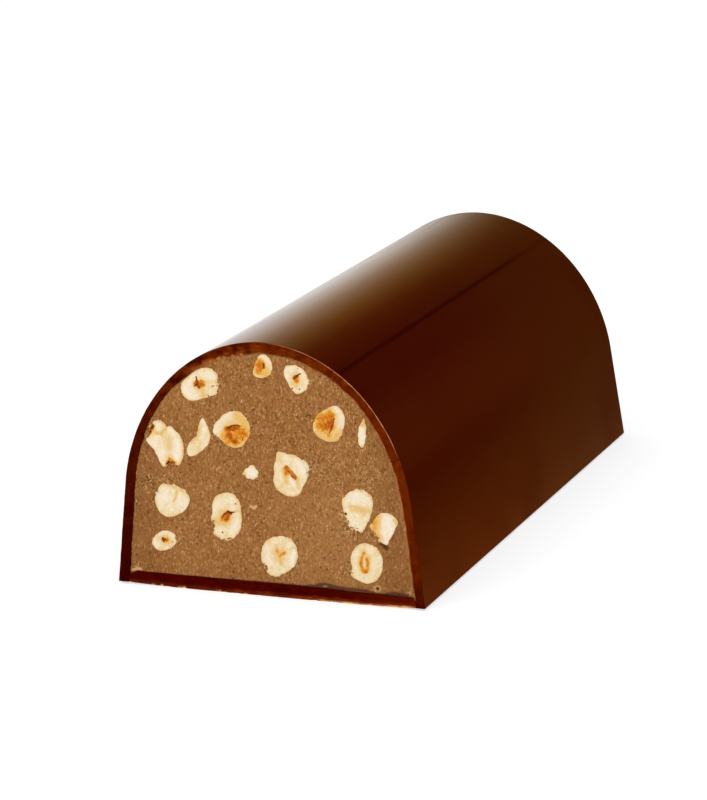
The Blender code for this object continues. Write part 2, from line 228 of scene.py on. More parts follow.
# What shows on each cut nut: strokes of (half-width, strength, points along it).
# White and honey are shades of the flesh, amber is the toasted heart, and dark
# is a crack or a scorched hollow.
NUT_MARKS = {
    "hazelnut_01": {
        "white": [(1.3, 0.6, (-20.5, 58.4), (-22.4, 56.2), (-20.6, 54.4)), (1.5, 0.6, (-14.8, 61.0))],
        "honey": [(1.1, 0.9, (-17.4, 57.0), (-17.2, 54.6)), (1.5, 0.9, (-18.2, 57.9))],
        "amber": [(0.85, 0.8, (-18.0, 57.8), (-17.3, 58.2)), (0.8, 0.7, (-19.2, 57.8))],
        "dark": [
            (0.17, 0.9, (-19.1, 59.9), (-19.0, 58.7)),
            (0.6, 0.52, (-19.0, 58.6), (-18.9, 57.6), (-18.4, 57.0)),
            (0.28, 0.7, (-19.0, 57.8), (-19.7, 57.2)), (0.2, 0.5, (-14.5, 57.5), (-13.9, 57.7)),
            (0.18, 0.5, (-15.9, 55.0), (-15.6, 54.6)),
        ],
    },
    "hazelnut_02": {
        "white": [(0.9, 0.8, (0.6, 66.6), (2.0, 65.4), (2.5, 63.8))],
        "honey": [(2.3, 0.9, (-0.6, 63.4), (1.6, 62.4)), (1.5, 1.0, (1.6, 62.6))],
        "amber": [
            (1.25, 0.62, (-0.3, 64.8), (-0.8, 62.8)), (1.0, 0.32, (-1.2, 62.2), (1.2, 61.8)),
            (0.9, 0.7, (0.4, 63.9)),
        ],
        "dark": [(0.38, 0.62, (0.7, 64.6), (0.8, 63.5))],
    },
    "hazelnut_03": {
        "white": [(1.1, 0.6, (8.2, 63.6), (7.8, 61.0))],
        "honey": [(1.5, 0.8, (9.8, 60.2)), (1.5, 0.9, (9.9, 61.2))],
        "amber": [(0.75, 0.75, (9.9, 61.3), (10.1, 60.8))],
        "dark": [
            (0.24, 0.9, (11.1, 62.6), (10.2, 61.9)), (0.52, 0.58, (10.3, 61.9), (9.7, 61.6), (9.3, 61.2)),
            (0.3, 0.7, (8.8, 58.4)), (0.28, 0.7, (10.8, 58.4)), (0.22, 0.4, (10.5, 63.9)),
        ],
    },
    "hazelnut_04": {
        "white": [
            (1.8, 0.7, (-31.0, 40.4), (-29.8, 37.4)), (1.2, 0.9, (-25.6, 40.6), (-26.0, 37.4)),
            (1.2, 0.7, (-27.0, 43.8)), (0.8, 0.8, (-31.0, 45.8)),
        ],
        "honey": [
            (1.6, 0.55, (-28.7, 42.2), (-28.2, 39.6)),
            (0.5, 1.0, (-32.0, 43.4), (-30.3, 43.2), (-28.7, 44.7)), (1.4, 0.7, (-28.2, 36.2)),
        ],
        "amber": [
            (0.2, 0.25, (-31.8, 43.4), (-30.4, 43.4), (-29.2, 44.5)),
            (0.8, 0.55, (-33.9, 43.2), (-32.6, 45.0)),
            (0.7, 0.6, (-28.6, 34.9), (-28.0, 35.9), (-26.6, 35.0)),
        ],
        "dark": [
            (0.55, 0.66, (-34.0, 42.8), (-33.5, 43.8)), (0.45, 0.8, (-33.1, 44.4), (-32.5, 45.2)),
            (0.24, 0.6, (-34.0, 42.2)), (0.6, 0.55, (-28.2, 35.0), (-27.0, 35.1)),
            (0.35, 0.9, (-28.9, 34.7), (-28.3, 35.4)), (0.26, 0.7, (-26.9, 34.8)),
            (0.3, 0.8, (-28.2, 46.0), (-28.4, 45.4)),
        ],
    },
    "hazelnut_05": {
        "white": [(0.9, 0.7, (-18.0, 43.4), (-17.6, 46.6)), (0.9, 0.6, (-21.8, 38.2))],
        "honey": [(1.0, 1.0, (-19.0, 46.5), (-19.5, 44.0), (-21.5, 42.0)), (1.8, 0.4, (-19.6, 40.2))],
    },
    "hazelnut_06": {
        "white": [(1.2, 1.0, (-13.6, 45.4), (-12.2, 48.2), (-9.4, 49.8))],
        "honey": [
            (1.9, 1.0, (-7.4, 49.6), (-5.4, 48.6), (-4.8, 45.0)), (4.2, 1.0, (-8.0, 44.6)),
            (1.2, 1.0, (-8.0, 41.2), (-5.6, 42.6)),
        ],
        "amber": [
            (2.2, 0.58, (-10.2, 43.4), (-6.2, 45.0)), (1.2, 0.92, (-10.0, 44.0), (-8.4, 42.6)),
            (0.9, 0.8, (-10.6, 45.8), (-7.6, 46.4)), (1.3, 0.2, (-6.4, 49.0), (-5.4, 47.4)),
        ],
        "dark": [
            (0.36, 0.72, (-10.6, 46.1), (-9.4, 46.7)), (0.18, 0.7, (-9.4, 46.8), (-8.2, 47.1), (-6.8, 46.9)),
            (0.3, 0.42, (-9.8, 45.7), (-8.9, 45.5)), (0.16, 0.5, (-6.4, 43.0), (-6.0, 43.8)),
            (0.16, 0.5, (-5.4, 44.6)),
        ],
    },
    "hazelnut_07": {
        "white": [(1.1, 1.0, (21.7, 53.6), (22.8, 51.2), (22.3, 48.6))],
        "honey": [
            (1.6, 1.0, (16.0, 46.2), (18.4, 45.4), (20.8, 45.6), (22.2, 47.0)), (3.8, 1.0, (17.6, 49.8)),
            (1.4, 0.8, (19.0, 53.4)), (0.3, 0.7, (20.2, 48.4), (22.2, 48.3)),
        ],
        "amber": [
            (1.5, 0.62, (16.6, 50.4), (19.4, 51.6)), (1.5, 0.66, (16.6, 48.6), (19.2, 48.8)),
            (0.9, 0.4, (18.2, 47.0), (19.0, 46.4)), (0.7, 0.95, (18.8, 49.6), (19.8, 50.2)),
        ],
        "dark": [
            (0.2, 0.62, (20.5, 50.9), (20.1, 49.6), (19.7, 48.2), (19.1, 47.0)),
            (0.22, 0.42, (20.1, 49.8), (19.0, 49.2), (18.6, 48.4)), (0.4, 0.55, (20.0, 49.2), (19.4, 48.4)),
        ],
    },
    "hazelnut_08": {
        "white": [(0.7, 0.6, (28.2, 48.6), (28.4, 45.2))],
        "honey": [(0.8, 0.9, (28.8, 51.2), (28.6, 50.0))],
    },
    "hazelnut_09": {
        "white": [(1.5, 0.8, (10.6, 38.0), (11.2, 35.8)), (0.9, 0.9, (7.6, 33.4), (8.6, 32.0))],
        "honey": [
            (1.1, 0.5, (3.8, 39.8), (4.6, 38.0)), (0.7, 0.9, (6.0, 33.6), (6.2, 32.4)),
            (0.6, 1.0, (9.2, 33.4), (9.7, 31.2)), (1.8, 0.4, (5.0, 30.4)),
            (0.8, 1.0, (5.6, 35.6), (6.2, 33.4)),
        ],
        "amber": [(0.6, 0.78, (6.2, 36.2), (7.2, 35.2), (8.6, 33.8)), (0.65, 0.55, (6.1, 35.9), (6.2, 34.6))],
        "dark": [
            (0.22, 0.36, (6.2, 36.9), (7.6, 35.8), (8.8, 34.3), (9.0, 33.3)),
            (0.2, 0.34, (7.4, 34.4), (8.8, 33.2)),
        ],
    },
    "hazelnut_10": {
        "white": [(1.1, 1.0, (-4.1, 34.3))],
        "honey": [(0.8, 1.0, (-6.4, 33.5))],
    },
    "hazelnut_11": {
        "white": [(2.2, 0.7, (-30.6, 25.6)), (1.6, 0.6, (-24.8, 24.2))],
        "honey": [
            (0.6, 0.7, (-28.4, 28.8), (-25.6, 28.2), (-24.2, 27.4)),
            (0.35, 0.8, (-26.1, 27.8), (-26.4, 26.0), (-27.4, 24.2)),
        ],
        "dark": [(0.16, 0.35, (-27.4, 24.2))],
    },
    "hazelnut_12": {
        "white": [(1.2, 0.5, (-14.4, 24.2), (-14.6, 22.4)), (1.2, 0.6, (-10.2, 17.4), (-9.0, 20.0))],
        "honey": [
            (1.2, 0.9, (-15.0, 19.8), (-12.8, 19.8)), (0.3, 0.8, (-9.0, 22.9), (-7.6, 23.1)),
            (2.1, 1.0, (-12.4, 20.8)),
            (0.22, 1.0, (-16.0, 19.3), (-14.3, 18.9), (-12.6, 18.9), (-10.8, 19.1)),
        ],
        "amber": [(0.85, 0.85, (-11.5, 21.6), (-11.9, 20.3)), (0.8, 0.42, (-13.2, 20.4), (-12.0, 20.0))],
        "dark": [
            (0.4, 0.56, (-13.0, 21.0), (-12.2, 21.9), (-11.4, 22.5)),
            (0.55, 0.8, (-11.4, 22.5), (-10.5, 22.2)), (0.2, 0.8, (-10.5, 22.4), (-9.4, 22.6)),
            (0.3, 0.8, (-13.2, 16.6)), (0.26, 0.7, (-9.0, 25.0)), (0.36, 0.8, (-15.8, 19.6)),
            (0.34, 0.9, (-15.9, 17.0)), (0.2, 0.7, (-11.8, 14.9), (-10.6, 15.2)),
        ],
    },
    "hazelnut_13": {
        "white": [(1.0, 0.6, (-28.0, 14.4))],
        "honey": [(1.3, 0.7, (-29.4, 12.8)), (1.4, 0.9, (-30.4, 13.0))],
        "amber": [(0.65, 0.7, (-30.6, 13.0), (-29.9, 13.1))],
        "dark": [
            (0.4, 0.62, (-31.1, 13.4), (-30.9, 12.6)), (0.26, 0.6, (-31.4, 12.9), (-30.4, 13.1)),
            (0.22, 0.8, (-28.2, 12.5)), (0.18, 0.5, (-28.9, 11.0)),
        ],
    },
    "hazelnut_14": {
        "white": [
            (1.0, 1.0, (8.0, 12.2), (7.6, 10.0)), (1.2, 0.5, (0.2, 13.0), (0.0, 9.6)),
            (0.18, 0.9, (2.9, 12.6), (4.0, 12.1)),
        ],
        "honey": [
            (1.8, 1.0, (3.4, 12.0)), (0.6, 0.9, (2.6, 13.9), (2.8, 11.6)),
            (0.6, 0.9, (3.4, 11.0), (3.8, 9.2)),
        ],
        "amber": [
            (0.55, 0.36, (2.7, 12.8), (3.3, 11.3)), (0.5, 0.46, (3.3, 11.3), (4.9, 12.3)),
            (0.5, 0.24, (3.3, 11.3), (3.6, 10.2)),
        ],
        "dark": [(0.45, 0.9, (-0.7, 8.0), (-0.6, 7.3))],
    },
    "hazelnut_15": {
        "white": [(1.8, 0.7, (25.0, 29.6), (28.0, 29.8)), (1.4, 0.5, (26.4, 22.4))],
        "honey": [
            (0.9, 0.85, (25.0, 26.5), (27.4, 26.1), (29.8, 26.1)),
            (0.22, 1.0, (24.8, 26.9), (26.4, 27.0), (28.0, 26.5), (30.0, 26.4)),
        ],
        "dark": [(0.4, 0.9, (23.0, 24.7)), (0.45, 0.9, (22.9, 23.3)), (0.25, 0.7, (23.6, 22.7))],
    },
    "hazelnut_16": {
        "white": [(1.6, 1.0, (34.6, 24.4), (35.4, 21.0), (34.0, 18.8))],
        "honey": [
            (1.3, 1.0, (32.2, 25.0), (31.4, 22.8), (31.2, 20.4), (32.4, 18.4)),
            (0.5, 0.9, (36.9, 24.2), (37.5, 23.2)),
        ],
        "amber": [(0.9, 0.34, (31.9, 24.4), (31.2, 22.4), (31.0, 20.4), (31.8, 18.8))],
    },
    "hazelnut_17": {
        "white": [(0.3, 1.0, (28.0, 12.8), (28.0, 10.8)), (0.9, 0.5, (30.0, 11.0))],
        "honey": [(0.9, 0.7, (28.0, 14.6), (27.2, 12.8), (27.2, 9.6), (28.8, 9.6), (29.0, 12.8))],
        "amber": [
            (0.55, 0.55, (28.0, 14.2), (27.2, 12.8), (27.0, 11.0), (27.4, 9.4), (28.0, 8.8)),
            (0.52, 0.56, (28.0, 8.8), (28.8, 9.8), (29.0, 11.2), (28.8, 12.8)),
            (0.75, 0.72, (27.7, 9.2), (28.3, 9.1)),
        ],
        "dark": [(0.25, 0.6, (24.2, 8.4))],
    },
}

# The camera, in the loaf's frame
CAMERA_AZIMUTH = math.radians(21.437)
CAMERA_ELEVATION = math.radians(14.581)
CAMERA_ROLL = math.radians(-1.654)
CAMERA_TARGET = Vector((0.02619, -0.0935, 0.05643))
CAMERA_DISTANCE = 0.8909
CAMERA_LENS = 151.42


# ---------------------------------------------------------------- small tools


def deselect_all():
    """Nothing stays selected, so that an operator acts on the new piece alone."""
    for thing in list(bpy.context.selected_objects):
        thing.select_set(False)


def start_piece(name):
    """Names the primitive that was just added and puts its place into its mesh."""
    piece = bpy.context.active_object
    piece.name = name
    piece.data.name = name
    bpy.ops.object.transform_apply(location=True, rotation=True, scale=True)
    return piece


def vertex_places(piece):
    """The piece's vertices in millimetres, one row each."""
    flat = np.empty(len(piece.data.vertices) * 3)
    piece.data.vertices.foreach_get("co", flat)
    return flat.reshape(-1, 3) / MM


def place_vertices(piece, places):
    """Moves the piece's vertices to places in millimetres."""
    piece.data.vertices.foreach_set("co", (places * MM).ravel())
    piece.data.update()


def edit(piece, kind="VERT"):
    """Opens the piece for editing with nothing selected."""
    bpy.context.view_layer.objects.active = piece
    bpy.ops.object.mode_set(mode="EDIT")
    bpy.ops.mesh.select_mode(type=kind)
    bpy.ops.mesh.select_all(action="DESELECT")


def leave_edit():
    """Closes edit mode."""
    bpy.ops.object.mode_set(mode="OBJECT")


def weld(piece, distance):
    """Joins vertices that share a place."""
    edit(piece)
    bpy.ops.mesh.select_all(action="SELECT")
    bpy.ops.mesh.remove_doubles(threshold=distance * MM)
    leave_edit()


def select_edges(piece, wanted):
    """Opens the piece for editing with the edges selected that are wanted, by their ends in millimetres."""
    edit(piece, "EDGE")
    work = bmesh.from_edit_mesh(piece.data)
    for edge in work.edges:
        if wanted(edge, edge.verts[0].co / MM, edge.verts[1].co / MM):
            edge.select_set(True)
    bmesh.update_edit_mesh(piece.data)


def is_open(edge, a, b):
    """Whether an edge is on the piece's open border."""
    return edge.is_boundary


def fill_open(piece, wanted=is_open):
    """Fills the wanted edges, which lie open, with one face."""
    select_edges(piece, wanted)
    bpy.ops.mesh.edge_face_add()
    leave_edit()


def face_outwards(piece):
    """Turns every face of a closed piece outwards."""
    edit(piece, "FACE")
    bpy.ops.mesh.select_all(action="SELECT")
    bpy.ops.mesh.normals_make_consistent(inside=False)
    leave_edit()


def smooth(piece, degrees):
    """Shades the piece smooth, with edges sharper than this kept."""
    deselect_all()
    piece.select_set(True)
    bpy.context.view_layer.objects.active = piece
    bpy.ops.object.shade_smooth_by_angle(angle=math.radians(degrees))


def paint(piece, name, values):
    """Keeps one value for each vertex, for the piece's material to read."""
    layer = piece.data.attributes.new(name, "FLOAT", "POINT")
    layer.data.foreach_set("value", np.clip(values, 0.0, 1.0).astype(np.float32))


def lattice_noise(across, along, size, seed):
    """Smooth unevenness from -1 to 1 over a plane, in lumps about `size` wide."""
    draw = np.random.default_rng(seed)
    table = draw.uniform(-1.0, 1.0, (256, 256))
    u = np.asarray(across) / size + 1000.0
    v = np.asarray(along) / size + 1000.0
    column = np.floor(u).astype(int)
    row = np.floor(v).astype(int)
    s = u - column
    t = v - row
    s = s * s * (3.0 - 2.0 * s)
    t = t * t * (3.0 - 2.0 * t)

    def corner(i, j):
        return table[(column + i) & 255, (row + j) & 255]

    low = corner(0, 0) * (1.0 - s) + corner(1, 0) * s
    high = corner(0, 1) * (1.0 - s) + corner(1, 1) * s
    return low * (1.0 - t) + high * t


def rough_noise(across, along, size, seed, layers=3):
    """Unevenness in lumps of `size` with finer ones on them."""
    total = 0.0
    reach = 0.0
    for layer in range(layers):
        share = 0.5 ** layer
        total = total + share * lattice_noise(across, along, size * share, seed + 17 * layer)
        reach += share
    return total / reach


def waver(run, size, seed):
    """Unevenness along the rim, in stretches about `size` long."""
    return lattice_noise(run, 0.0 * run, size, seed)


def fade(distance, near, far):
    """1 nearer than `near`, 0 past `far`, and a smooth way between."""
    t = np.clip((far - distance) / (far - near), 0.0, 1.0)
    return t * t * (3.0 - 2.0 * t)


def stroke_distance(x, z, points):
    """How far places are from a line through points."""
    best = np.full(np.shape(x), np.inf)
    ends = points if len(points) > 1 else points * 2
    for (ax, az), (bx, bz) in zip(ends[:-1], ends[1:]):
        run = (bx - ax) ** 2 + (bz - az) ** 2
        along = 0.0
        if run > 0.0:
            along = np.clip(((x - ax) * (bx - ax) + (z - az) * (bz - az)) / run, 0.0, 1.0)
        best = np.minimum(best, np.hypot(x - ax - along * (bx - ax), z - az - along * (bz - az)))
    return best


# ------------------------------------------------------- the loaf's own section


def loaf_section(count):
    """Even points round the loaf's outside, left foot to right foot, and the way out at each."""
    power = 2.0 / ARCH_POWER
    turn = np.linspace(0.0005, math.pi / 2.0, 4000)
    x = ARCH_HALF_SPAN * np.cos(turn) ** power
    z = ARCH_RISE * np.sin(turn) ** power
    out_x = (x / ARCH_HALF_SPAN) ** (ARCH_POWER - 1.0) / ARCH_HALF_SPAN
    out_z = (z / ARCH_RISE) ** (ARCH_POWER - 1.0) / ARCH_RISE
    above = np.arctan2(out_z, out_x) >= SIDE_DRAFT
    x = x[above]
    z = z[above]
    lift = (HALF_WIDTH - x[0]) / math.tan(SIDE_DRAFT) - z[0]
    wall_z = np.linspace(0.0, z[0] + lift, 800)[:-1]
    right_x = np.concatenate([HALF_WIDTH - wall_z * math.tan(SIDE_DRAFT), x])
    right_z = np.concatenate([wall_z, z + lift])
    all_x = np.concatenate([-right_x, right_x[::-1][1:]])
    all_z = np.concatenate([right_z, right_z[::-1][1:]])
    run = np.concatenate([[0.0], np.cumsum(np.hypot(np.diff(all_x), np.diff(all_z)))])
    even = np.linspace(0.0, run[-1], count)
    px = np.interp(even, run, all_x)
    pz = np.interp(even, run, all_z)
    tangent_x = np.gradient(px)
    tangent_z = np.gradient(pz)
    length = np.hypot(tangent_x, tangent_z)
    return px, pz, -tangent_z / length, tangent_x / length


def rim_wall(share):
    """The shell's thickness at a share of the way round, with the hand of the pour in it."""
    run = share * RIM_LENGTH
    return read_along(RIM_WALL, share) + 0.13 * waver(run, 4.0, 5) + 0.07 * waver(run, 1.3, 6)


def read_along(entries, place, **beyond):
    """A value listed at places, between them in proportion."""
    return np.interp(place, [entry[0] for entry in entries], [entry[1] for entry in entries], **beyond)


# ------------------------------------------------------------------- the shell


def shell_path():
    """The way over the shell from the foot of its end, along the outside, over the rim and back in.

    Each stop is (part, place): on the outer end, how far in from the edge as a
    share; round the end's edge, a turn; along the wall, a place on Y.
    """
    stops = [("end", share) for share in np.linspace(0.0, 1.0, 12)[:-1]]
    stops += [("edge", turn) for turn in np.linspace(90.0, 0.0, 9)]
    outer_back = BACK - END_EDGE_RADIUS
    stops += [("outside", outer_back - step) for step in (0.3, 0.8, 1.6)]
    stops += [("outside", y) for y in np.linspace(outer_back - 3.0, FRONT + 3.0, 40)]
    stops += [("outside", FRONT + step) for step in (2.0, 1.2, 0.7, 0.3)]
    stops += [("arris", turn) for turn in np.linspace(0.0, 90.0, 6)]
    stops += [("rim", share) for share in np.linspace(0.0, 1.0, 10)[1:-1]]
    stops += [("lip", turn) for turn in np.linspace(0.0, 90.0, 4)]
    stops += [("inside", y) for y in (FRONT + 0.8, FRONT + 2.0)]
    stops += [("inside", y) for y in np.linspace(FRONT + 6.0, BACK - 6.0, 12)]
    stops += [("inner_end", share) for share in np.linspace(1.0, 0.0, 8)]
    return stops


def chocolate_shell():
    """The moulded shell: one sheet wrapped over the outside, round the rim and into the inside."""
    stops = shell_path()
    deselect_all()
    bpy.ops.mesh.primitive_grid_add(x_subdivisions=ROUND_STEPS, y_subdivisions=len(stops) - 1, size=2.0)
    shell = start_piece("shell_chocolate")
    sheet = vertex_places(shell) * MM
    column = np.rint((sheet[:, 0] + 1.0) / 2.0 * ROUND_STEPS).astype(int)
    row = np.rint((sheet[:, 1] + 1.0) / 2.0 * (len(stops) - 1)).astype(int)

    px, pz, nx, nz = loaf_section(ROUND_STEPS + 1)
    share = np.linspace(0.0, 1.0, ROUND_STEPS + 1)
    run = share * RIM_LENGTH
    wall = rim_wall(share)
    arris = 0.22 + 0.08 * waver(run, 2.3, 11) + 0.05 * waver(run, 0.8, 12)
    proud = 0.12 + 0.07 * waver(run, 6.0, 13)
    places = np.empty_like(sheet)
    kinds = np.empty(len(sheet), dtype="U12")
    for index, (part, place) in enumerate(stops):
        here = row == index
        k = column[here]
        x, z = px[k], pz[k]
        inset = np.zeros(len(k))
        end_y = BACK - z * math.tan(END_DRAFT)
        if part == "end":
            inset += END_EDGE_RADIUS
            y = end_y
        elif part == "edge":
            turn = math.radians(place)
            inset += END_EDGE_RADIUS * (1.0 - math.cos(turn))
            y = end_y - END_EDGE_RADIUS * (1.0 - math.sin(turn))
        elif part == "outside":
            y = FRONT + (place - FRONT) * (end_y - END_EDGE_RADIUS - FRONT) / (BACK - END_EDGE_RADIUS - FRONT)
        elif part == "arris":
            turn = math.radians(place)
            inset += arris[k] * (1.0 - math.cos(turn))
            y = FRONT - proud[k] + arris[k] * (1.0 - math.sin(turn))
        elif part == "rim":
            inset += arris[k] + place * (wall[k] - arris[k] - LIP_RADIUS)
            y = FRONT - proud[k] + 0.06 * place + 0.03 * rough_noise(run[k], inset * 3.0, 1.2, 21)
            y += 0.05 * rough_noise(run[k] * 0.3, inset, 0.5, 22, 2)
        elif part == "lip":
            turn = math.radians(place)
            inset += wall[k] - LIP_RADIUS + LIP_RADIUS * math.sin(turn)
            y = FRONT - proud[k] + 0.06 + LIP_RADIUS * (1.0 - math.cos(turn))
        elif part == "inside":
            inset += wall[k] if place < FRONT + 3.0 else WALL_THICKNESS
            y = np.full(len(k), place)
            far = end_y - WALL_THICKNESS
            y = np.minimum(y, far)
        else:
            inset += WALL_THICKNESS
            y = end_y - WALL_THICKNESS
        x = x - inset * nx[k]
        z = np.maximum(z - inset * nz[k], 0.0)
        z = np.where((k == 0) | (k == ROUND_STEPS), 0.0, z)
        if part in ("end", "inner_end"):
            x = x * place
            z = z * place
            deep = 0.0 if part == "end" else WALL_THICKNESS
            y = BACK - z * math.tan(END_DRAFT) - deep
        places[here] = np.column_stack([x, y, z])
        kinds[here] = "glint" if part == "arris" and 30.0 < place < 60.0 else part
    place_vertices(shell, places)
    # A painted dark line where the sheen ends on the outside, fainter towards the back and left off the end
    from_sheen_edge = run[column] - float(np.interp(SHEEN_EDGE_X, px, run))
    sheen_edge_line = 0.90 * np.exp(-((from_sheen_edge / 0.7) ** 2)) + 0.10 * np.exp(-((from_sheen_edge / 3.0) ** 2))
    sheen_edge_line *= 0.25 + 0.75 * fade(places[:, 1], 35.0, 85.0)
    paint(shell, "sheen_edge_line", sheen_edge_line * np.where(kinds == "end", 0.0, 1.0))
    # Painted light and shade across the cut rim: shaded at the feet, lit over the crown and the right side
    paint(shell, "tone", read_along(RIM_PAINTED_LIGHT, share)[column])
    # A painted highlight along the outer arris, bright right of the crown and faint on the left
    bright = read_along(ARRIS_LIGHT, share)[column] * (kinds == "glint")
    inset = np.hypot(places[:, 0] - px[column], places[:, 2] - pz[column])
    paint(shell, "arris", bright * (0.70 + 0.30 * waver(run[column], 1.6, 14)))
    patches = fade(-rough_noise(run[column], inset * 1.3, 2.4, 15), -0.25, 0.15)
    paint(shell, "blotch", read_along(RIM_BLOTCHES, share)[column] * patches)
    warm = 0.8 * fade(np.abs(share - 0.43), 0.03, 0.08)[column] * fade(wall[column] - inset, 0.4, 1.7)
    paint(shell, "warm", warm * fade(-rough_noise(run[column] * 0.6, inset, 1.5, 16), -0.3, 0.25))
    from_lip = wall[column] - inset
    # A painted highlight along the rim's inner edge, kept in one attribute with the chips
    lip_light = read_along(LIP_LIGHT, share)[column] * fade(from_lip, 0.05, 0.38) * (places[:, 2] > 2.6)
    lip_light *= 0.75 + 0.5 * waver(run[column], 1.1, 18)
    chips = np.zeros(len(places))
    for middle, reach in RIM_CHIPS:
        away = np.abs(run[column] - RIM_LENGTH * middle)
        chips = np.maximum(chips, fade(away, 0.5 * reach, reach + 0.2) * fade(from_lip, 0.15, 0.55))
    paint(shell, "chip_and_lip_highlight", np.maximum(chips, lip_light) * (places[:, 1] < FRONT + 0.6))
    paint(shell, "cut", np.isin(kinds, ["arris", "glint", "rim", "lip"]).astype(float))
    weld(shell, 0.0005)
    fill_open(shell)
    face_outwards(shell)
    bevel_foot(shell)
    smooth(shell, 40.0)
    return shell


def bevel_foot(shell):
    """Rounds the long outer foot edges, where the mould filled less."""
    def on_foot(edge, a, b):
        low = max(a.z, b.z) < 0.01 and min(abs(a.x), abs(b.x)) > HALF_WIDTH - 0.6
        along = abs(a.y - b.y) > abs(a.x - b.x)
        return low and along and min(a.y, b.y) > FRONT + 0.1

    select_edges(shell, on_foot)
    bpy.ops.mesh.bevel(
        offset=FOOT_EDGE_RADIUS * MM * 0.6, segments=3, profile=0.5, affect="EDGES", clamp_overlap=True
    )
    leave_edit()


# -------------------------------------------------------------------- the base


def base_top(x):
    """How high the base reaches on the cut: a little lower towards the right."""
    return BASE_TOP - BASE_FALL * np.clip((x - 4.0) / 36.0, 0.0, 1.0)


def wall_x(inset, height):
    """How far out the drafted wall is, `inset` inside the loaf's face, at a height."""
    return HALF_WIDTH - inset / math.cos(SIDE_DRAFT) - height * math.tan(SIDE_DRAFT)


def chocolate_base():
    """The layer that closes the shell underneath: a sheet bent round its front edge."""
    path = [(y, 0.0) for y in np.linspace(BACK - 3.2, FRONT + 4.0, 14)]
    path += [(FRONT + step, 0.0) for step in (2.5, 1.5, 1.0)]
    path += [
        (FRONT + BASE_EDGE_RADIUS * (1.0 - math.sin(turn)), BASE_EDGE_RADIUS * (1.0 - math.cos(turn)))
        for turn in np.linspace(0.0, math.pi / 2.0, 5)
    ]
    path += [(FRONT, height) for height in np.linspace(BASE_EDGE_RADIUS, BASE_TOP - 0.2, 12)[1:]]
    path += [(FRONT + 0.08, BASE_TOP - 0.05), (FRONT + 0.3, BASE_TOP), (FRONT + 1.5, BASE_TOP)]
    path += [(y, BASE_TOP) for y in np.linspace(FRONT + 4.0, BACK - 3.5, 12)]
    deselect_all()
    bpy.ops.mesh.primitive_grid_add(x_subdivisions=BASE_STEPS, y_subdivisions=len(path) - 1, size=2.0)
    base = start_piece("base_chocolate")
    sheet = vertex_places(base) * MM
    row = np.rint((sheet[:, 1] + 1.0) / 2.0 * (len(path) - 1)).astype(int)
    along = np.array(path)
    y = along[row, 0]
    z = along[row, 1]
    slope = np.where(sheet[:, 0] < 0.0, 2.4, 0.5)
    side = wall_x(WALL_THICKNESS - 0.25, z) - slope * np.maximum(z - (BASE_TOP - BASE_SIDE_CHAMFER), 0.0)
    x = sheet[:, 0] * side
    z = z * base_top(x) / BASE_TOP
    low = z < BASE_TOP - 1.0
    bow = UNDERSIDE_BOW * (1.0 - (x / HALF_WIDTH) ** 4)
    z = z - bow * (1.0 - z / BASE_TOP) * low
    at_front = fade(y, FRONT + 0.5, FRONT + 1.4)
    ripple = rough_noise(x, z, 2.4, 31) * 0.07 + lattice_noise(x * 0.25, z, 0.7, 32) * 0.04
    nick = np.maximum(rough_noise(x, z * 0.5, 1.5, 33) - 0.25, 0.0) * fade(z, 0.15, 0.9) * 0.8
    y = y + at_front * (ripple - 0.03 + nick)
    z = z + at_front * fade(abs(z - BASE_TOP), 0.2, 1.0) * 0.14 * rough_noise(x, 0.0 * x, 4.0, 34)
    place_vertices(base, np.column_stack([x, y, z]))
    height = z + bow
    # Painted glints along the lower front edge, at the listed places
    glint_flecks = np.zeros(len(x))
    for middle, reach in BASE_GLINTS:
        glint_flecks = np.maximum(glint_flecks, fade(np.abs(x - middle), 0.6 * reach, reach))
    glint_flecks *= 0.75 + 0.7 * rough_noise(x, 0.3 * z, 1.4, 35)
    # A lighter band low on the front face: painted reflection of the table
    low = fade(height + 0.4 * rough_noise(x, z, 1.5, 36), 0.6, 1.7) * (0.35 + 0.65 * fade(-x, -5.0, 25.0))
    paint(base, "low", low * at_front)
    edge = fade(height + 0.15 * rough_noise(x, 0.0 * x, 2.5, 37), 0.30, 0.65)
    paint(base, "edge_glint", glint_flecks * edge * at_front)
    close_sides(base)
    face_outwards(base)
    smooth(base, 40.0)
    return base


def close_sides(base):
    """Closes the bent sheet: each side first, then the back."""
    for way in (-1.0, 1.0):
        def at_side(edge, a, b):
            near_back = min(a.y, b.y) > BACK - 3.55 and abs(a.y - b.y) < 0.001
            return edge.is_boundary and min(a.x * way, b.x * way) > 0.0 and not near_back

        fill_open(base, at_side)
    fill_open(base)


# ------------------------------------------------------------------- the nuts


def cut_outline(node):
    """A nut's cut outline: its middle, radii for directions all round, and its solid's depth."""
    places = np.array([v.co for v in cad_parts[node].data.vertices]) / MM
    flat = places[places[:, 1] < FRONT + 0.01]
    deepest = places[np.argmax(places[:, 1])]
    middle = deepest[[0, 2]]
    corners = np.unique(np.round(flat[:, [0, 2]], 3), axis=0)
    if node in NUT_EDGES:
        corners = np.array(NUT_EDGES[node])
    away = corners - middle
    angle = np.arctan2(away[:, 1], away[:, 0])
    order = np.argsort(angle)
    radius = np.hypot(away[:, 0], away[:, 1])
    return middle, angle[order], radius[order], deepest[1] - FRONT


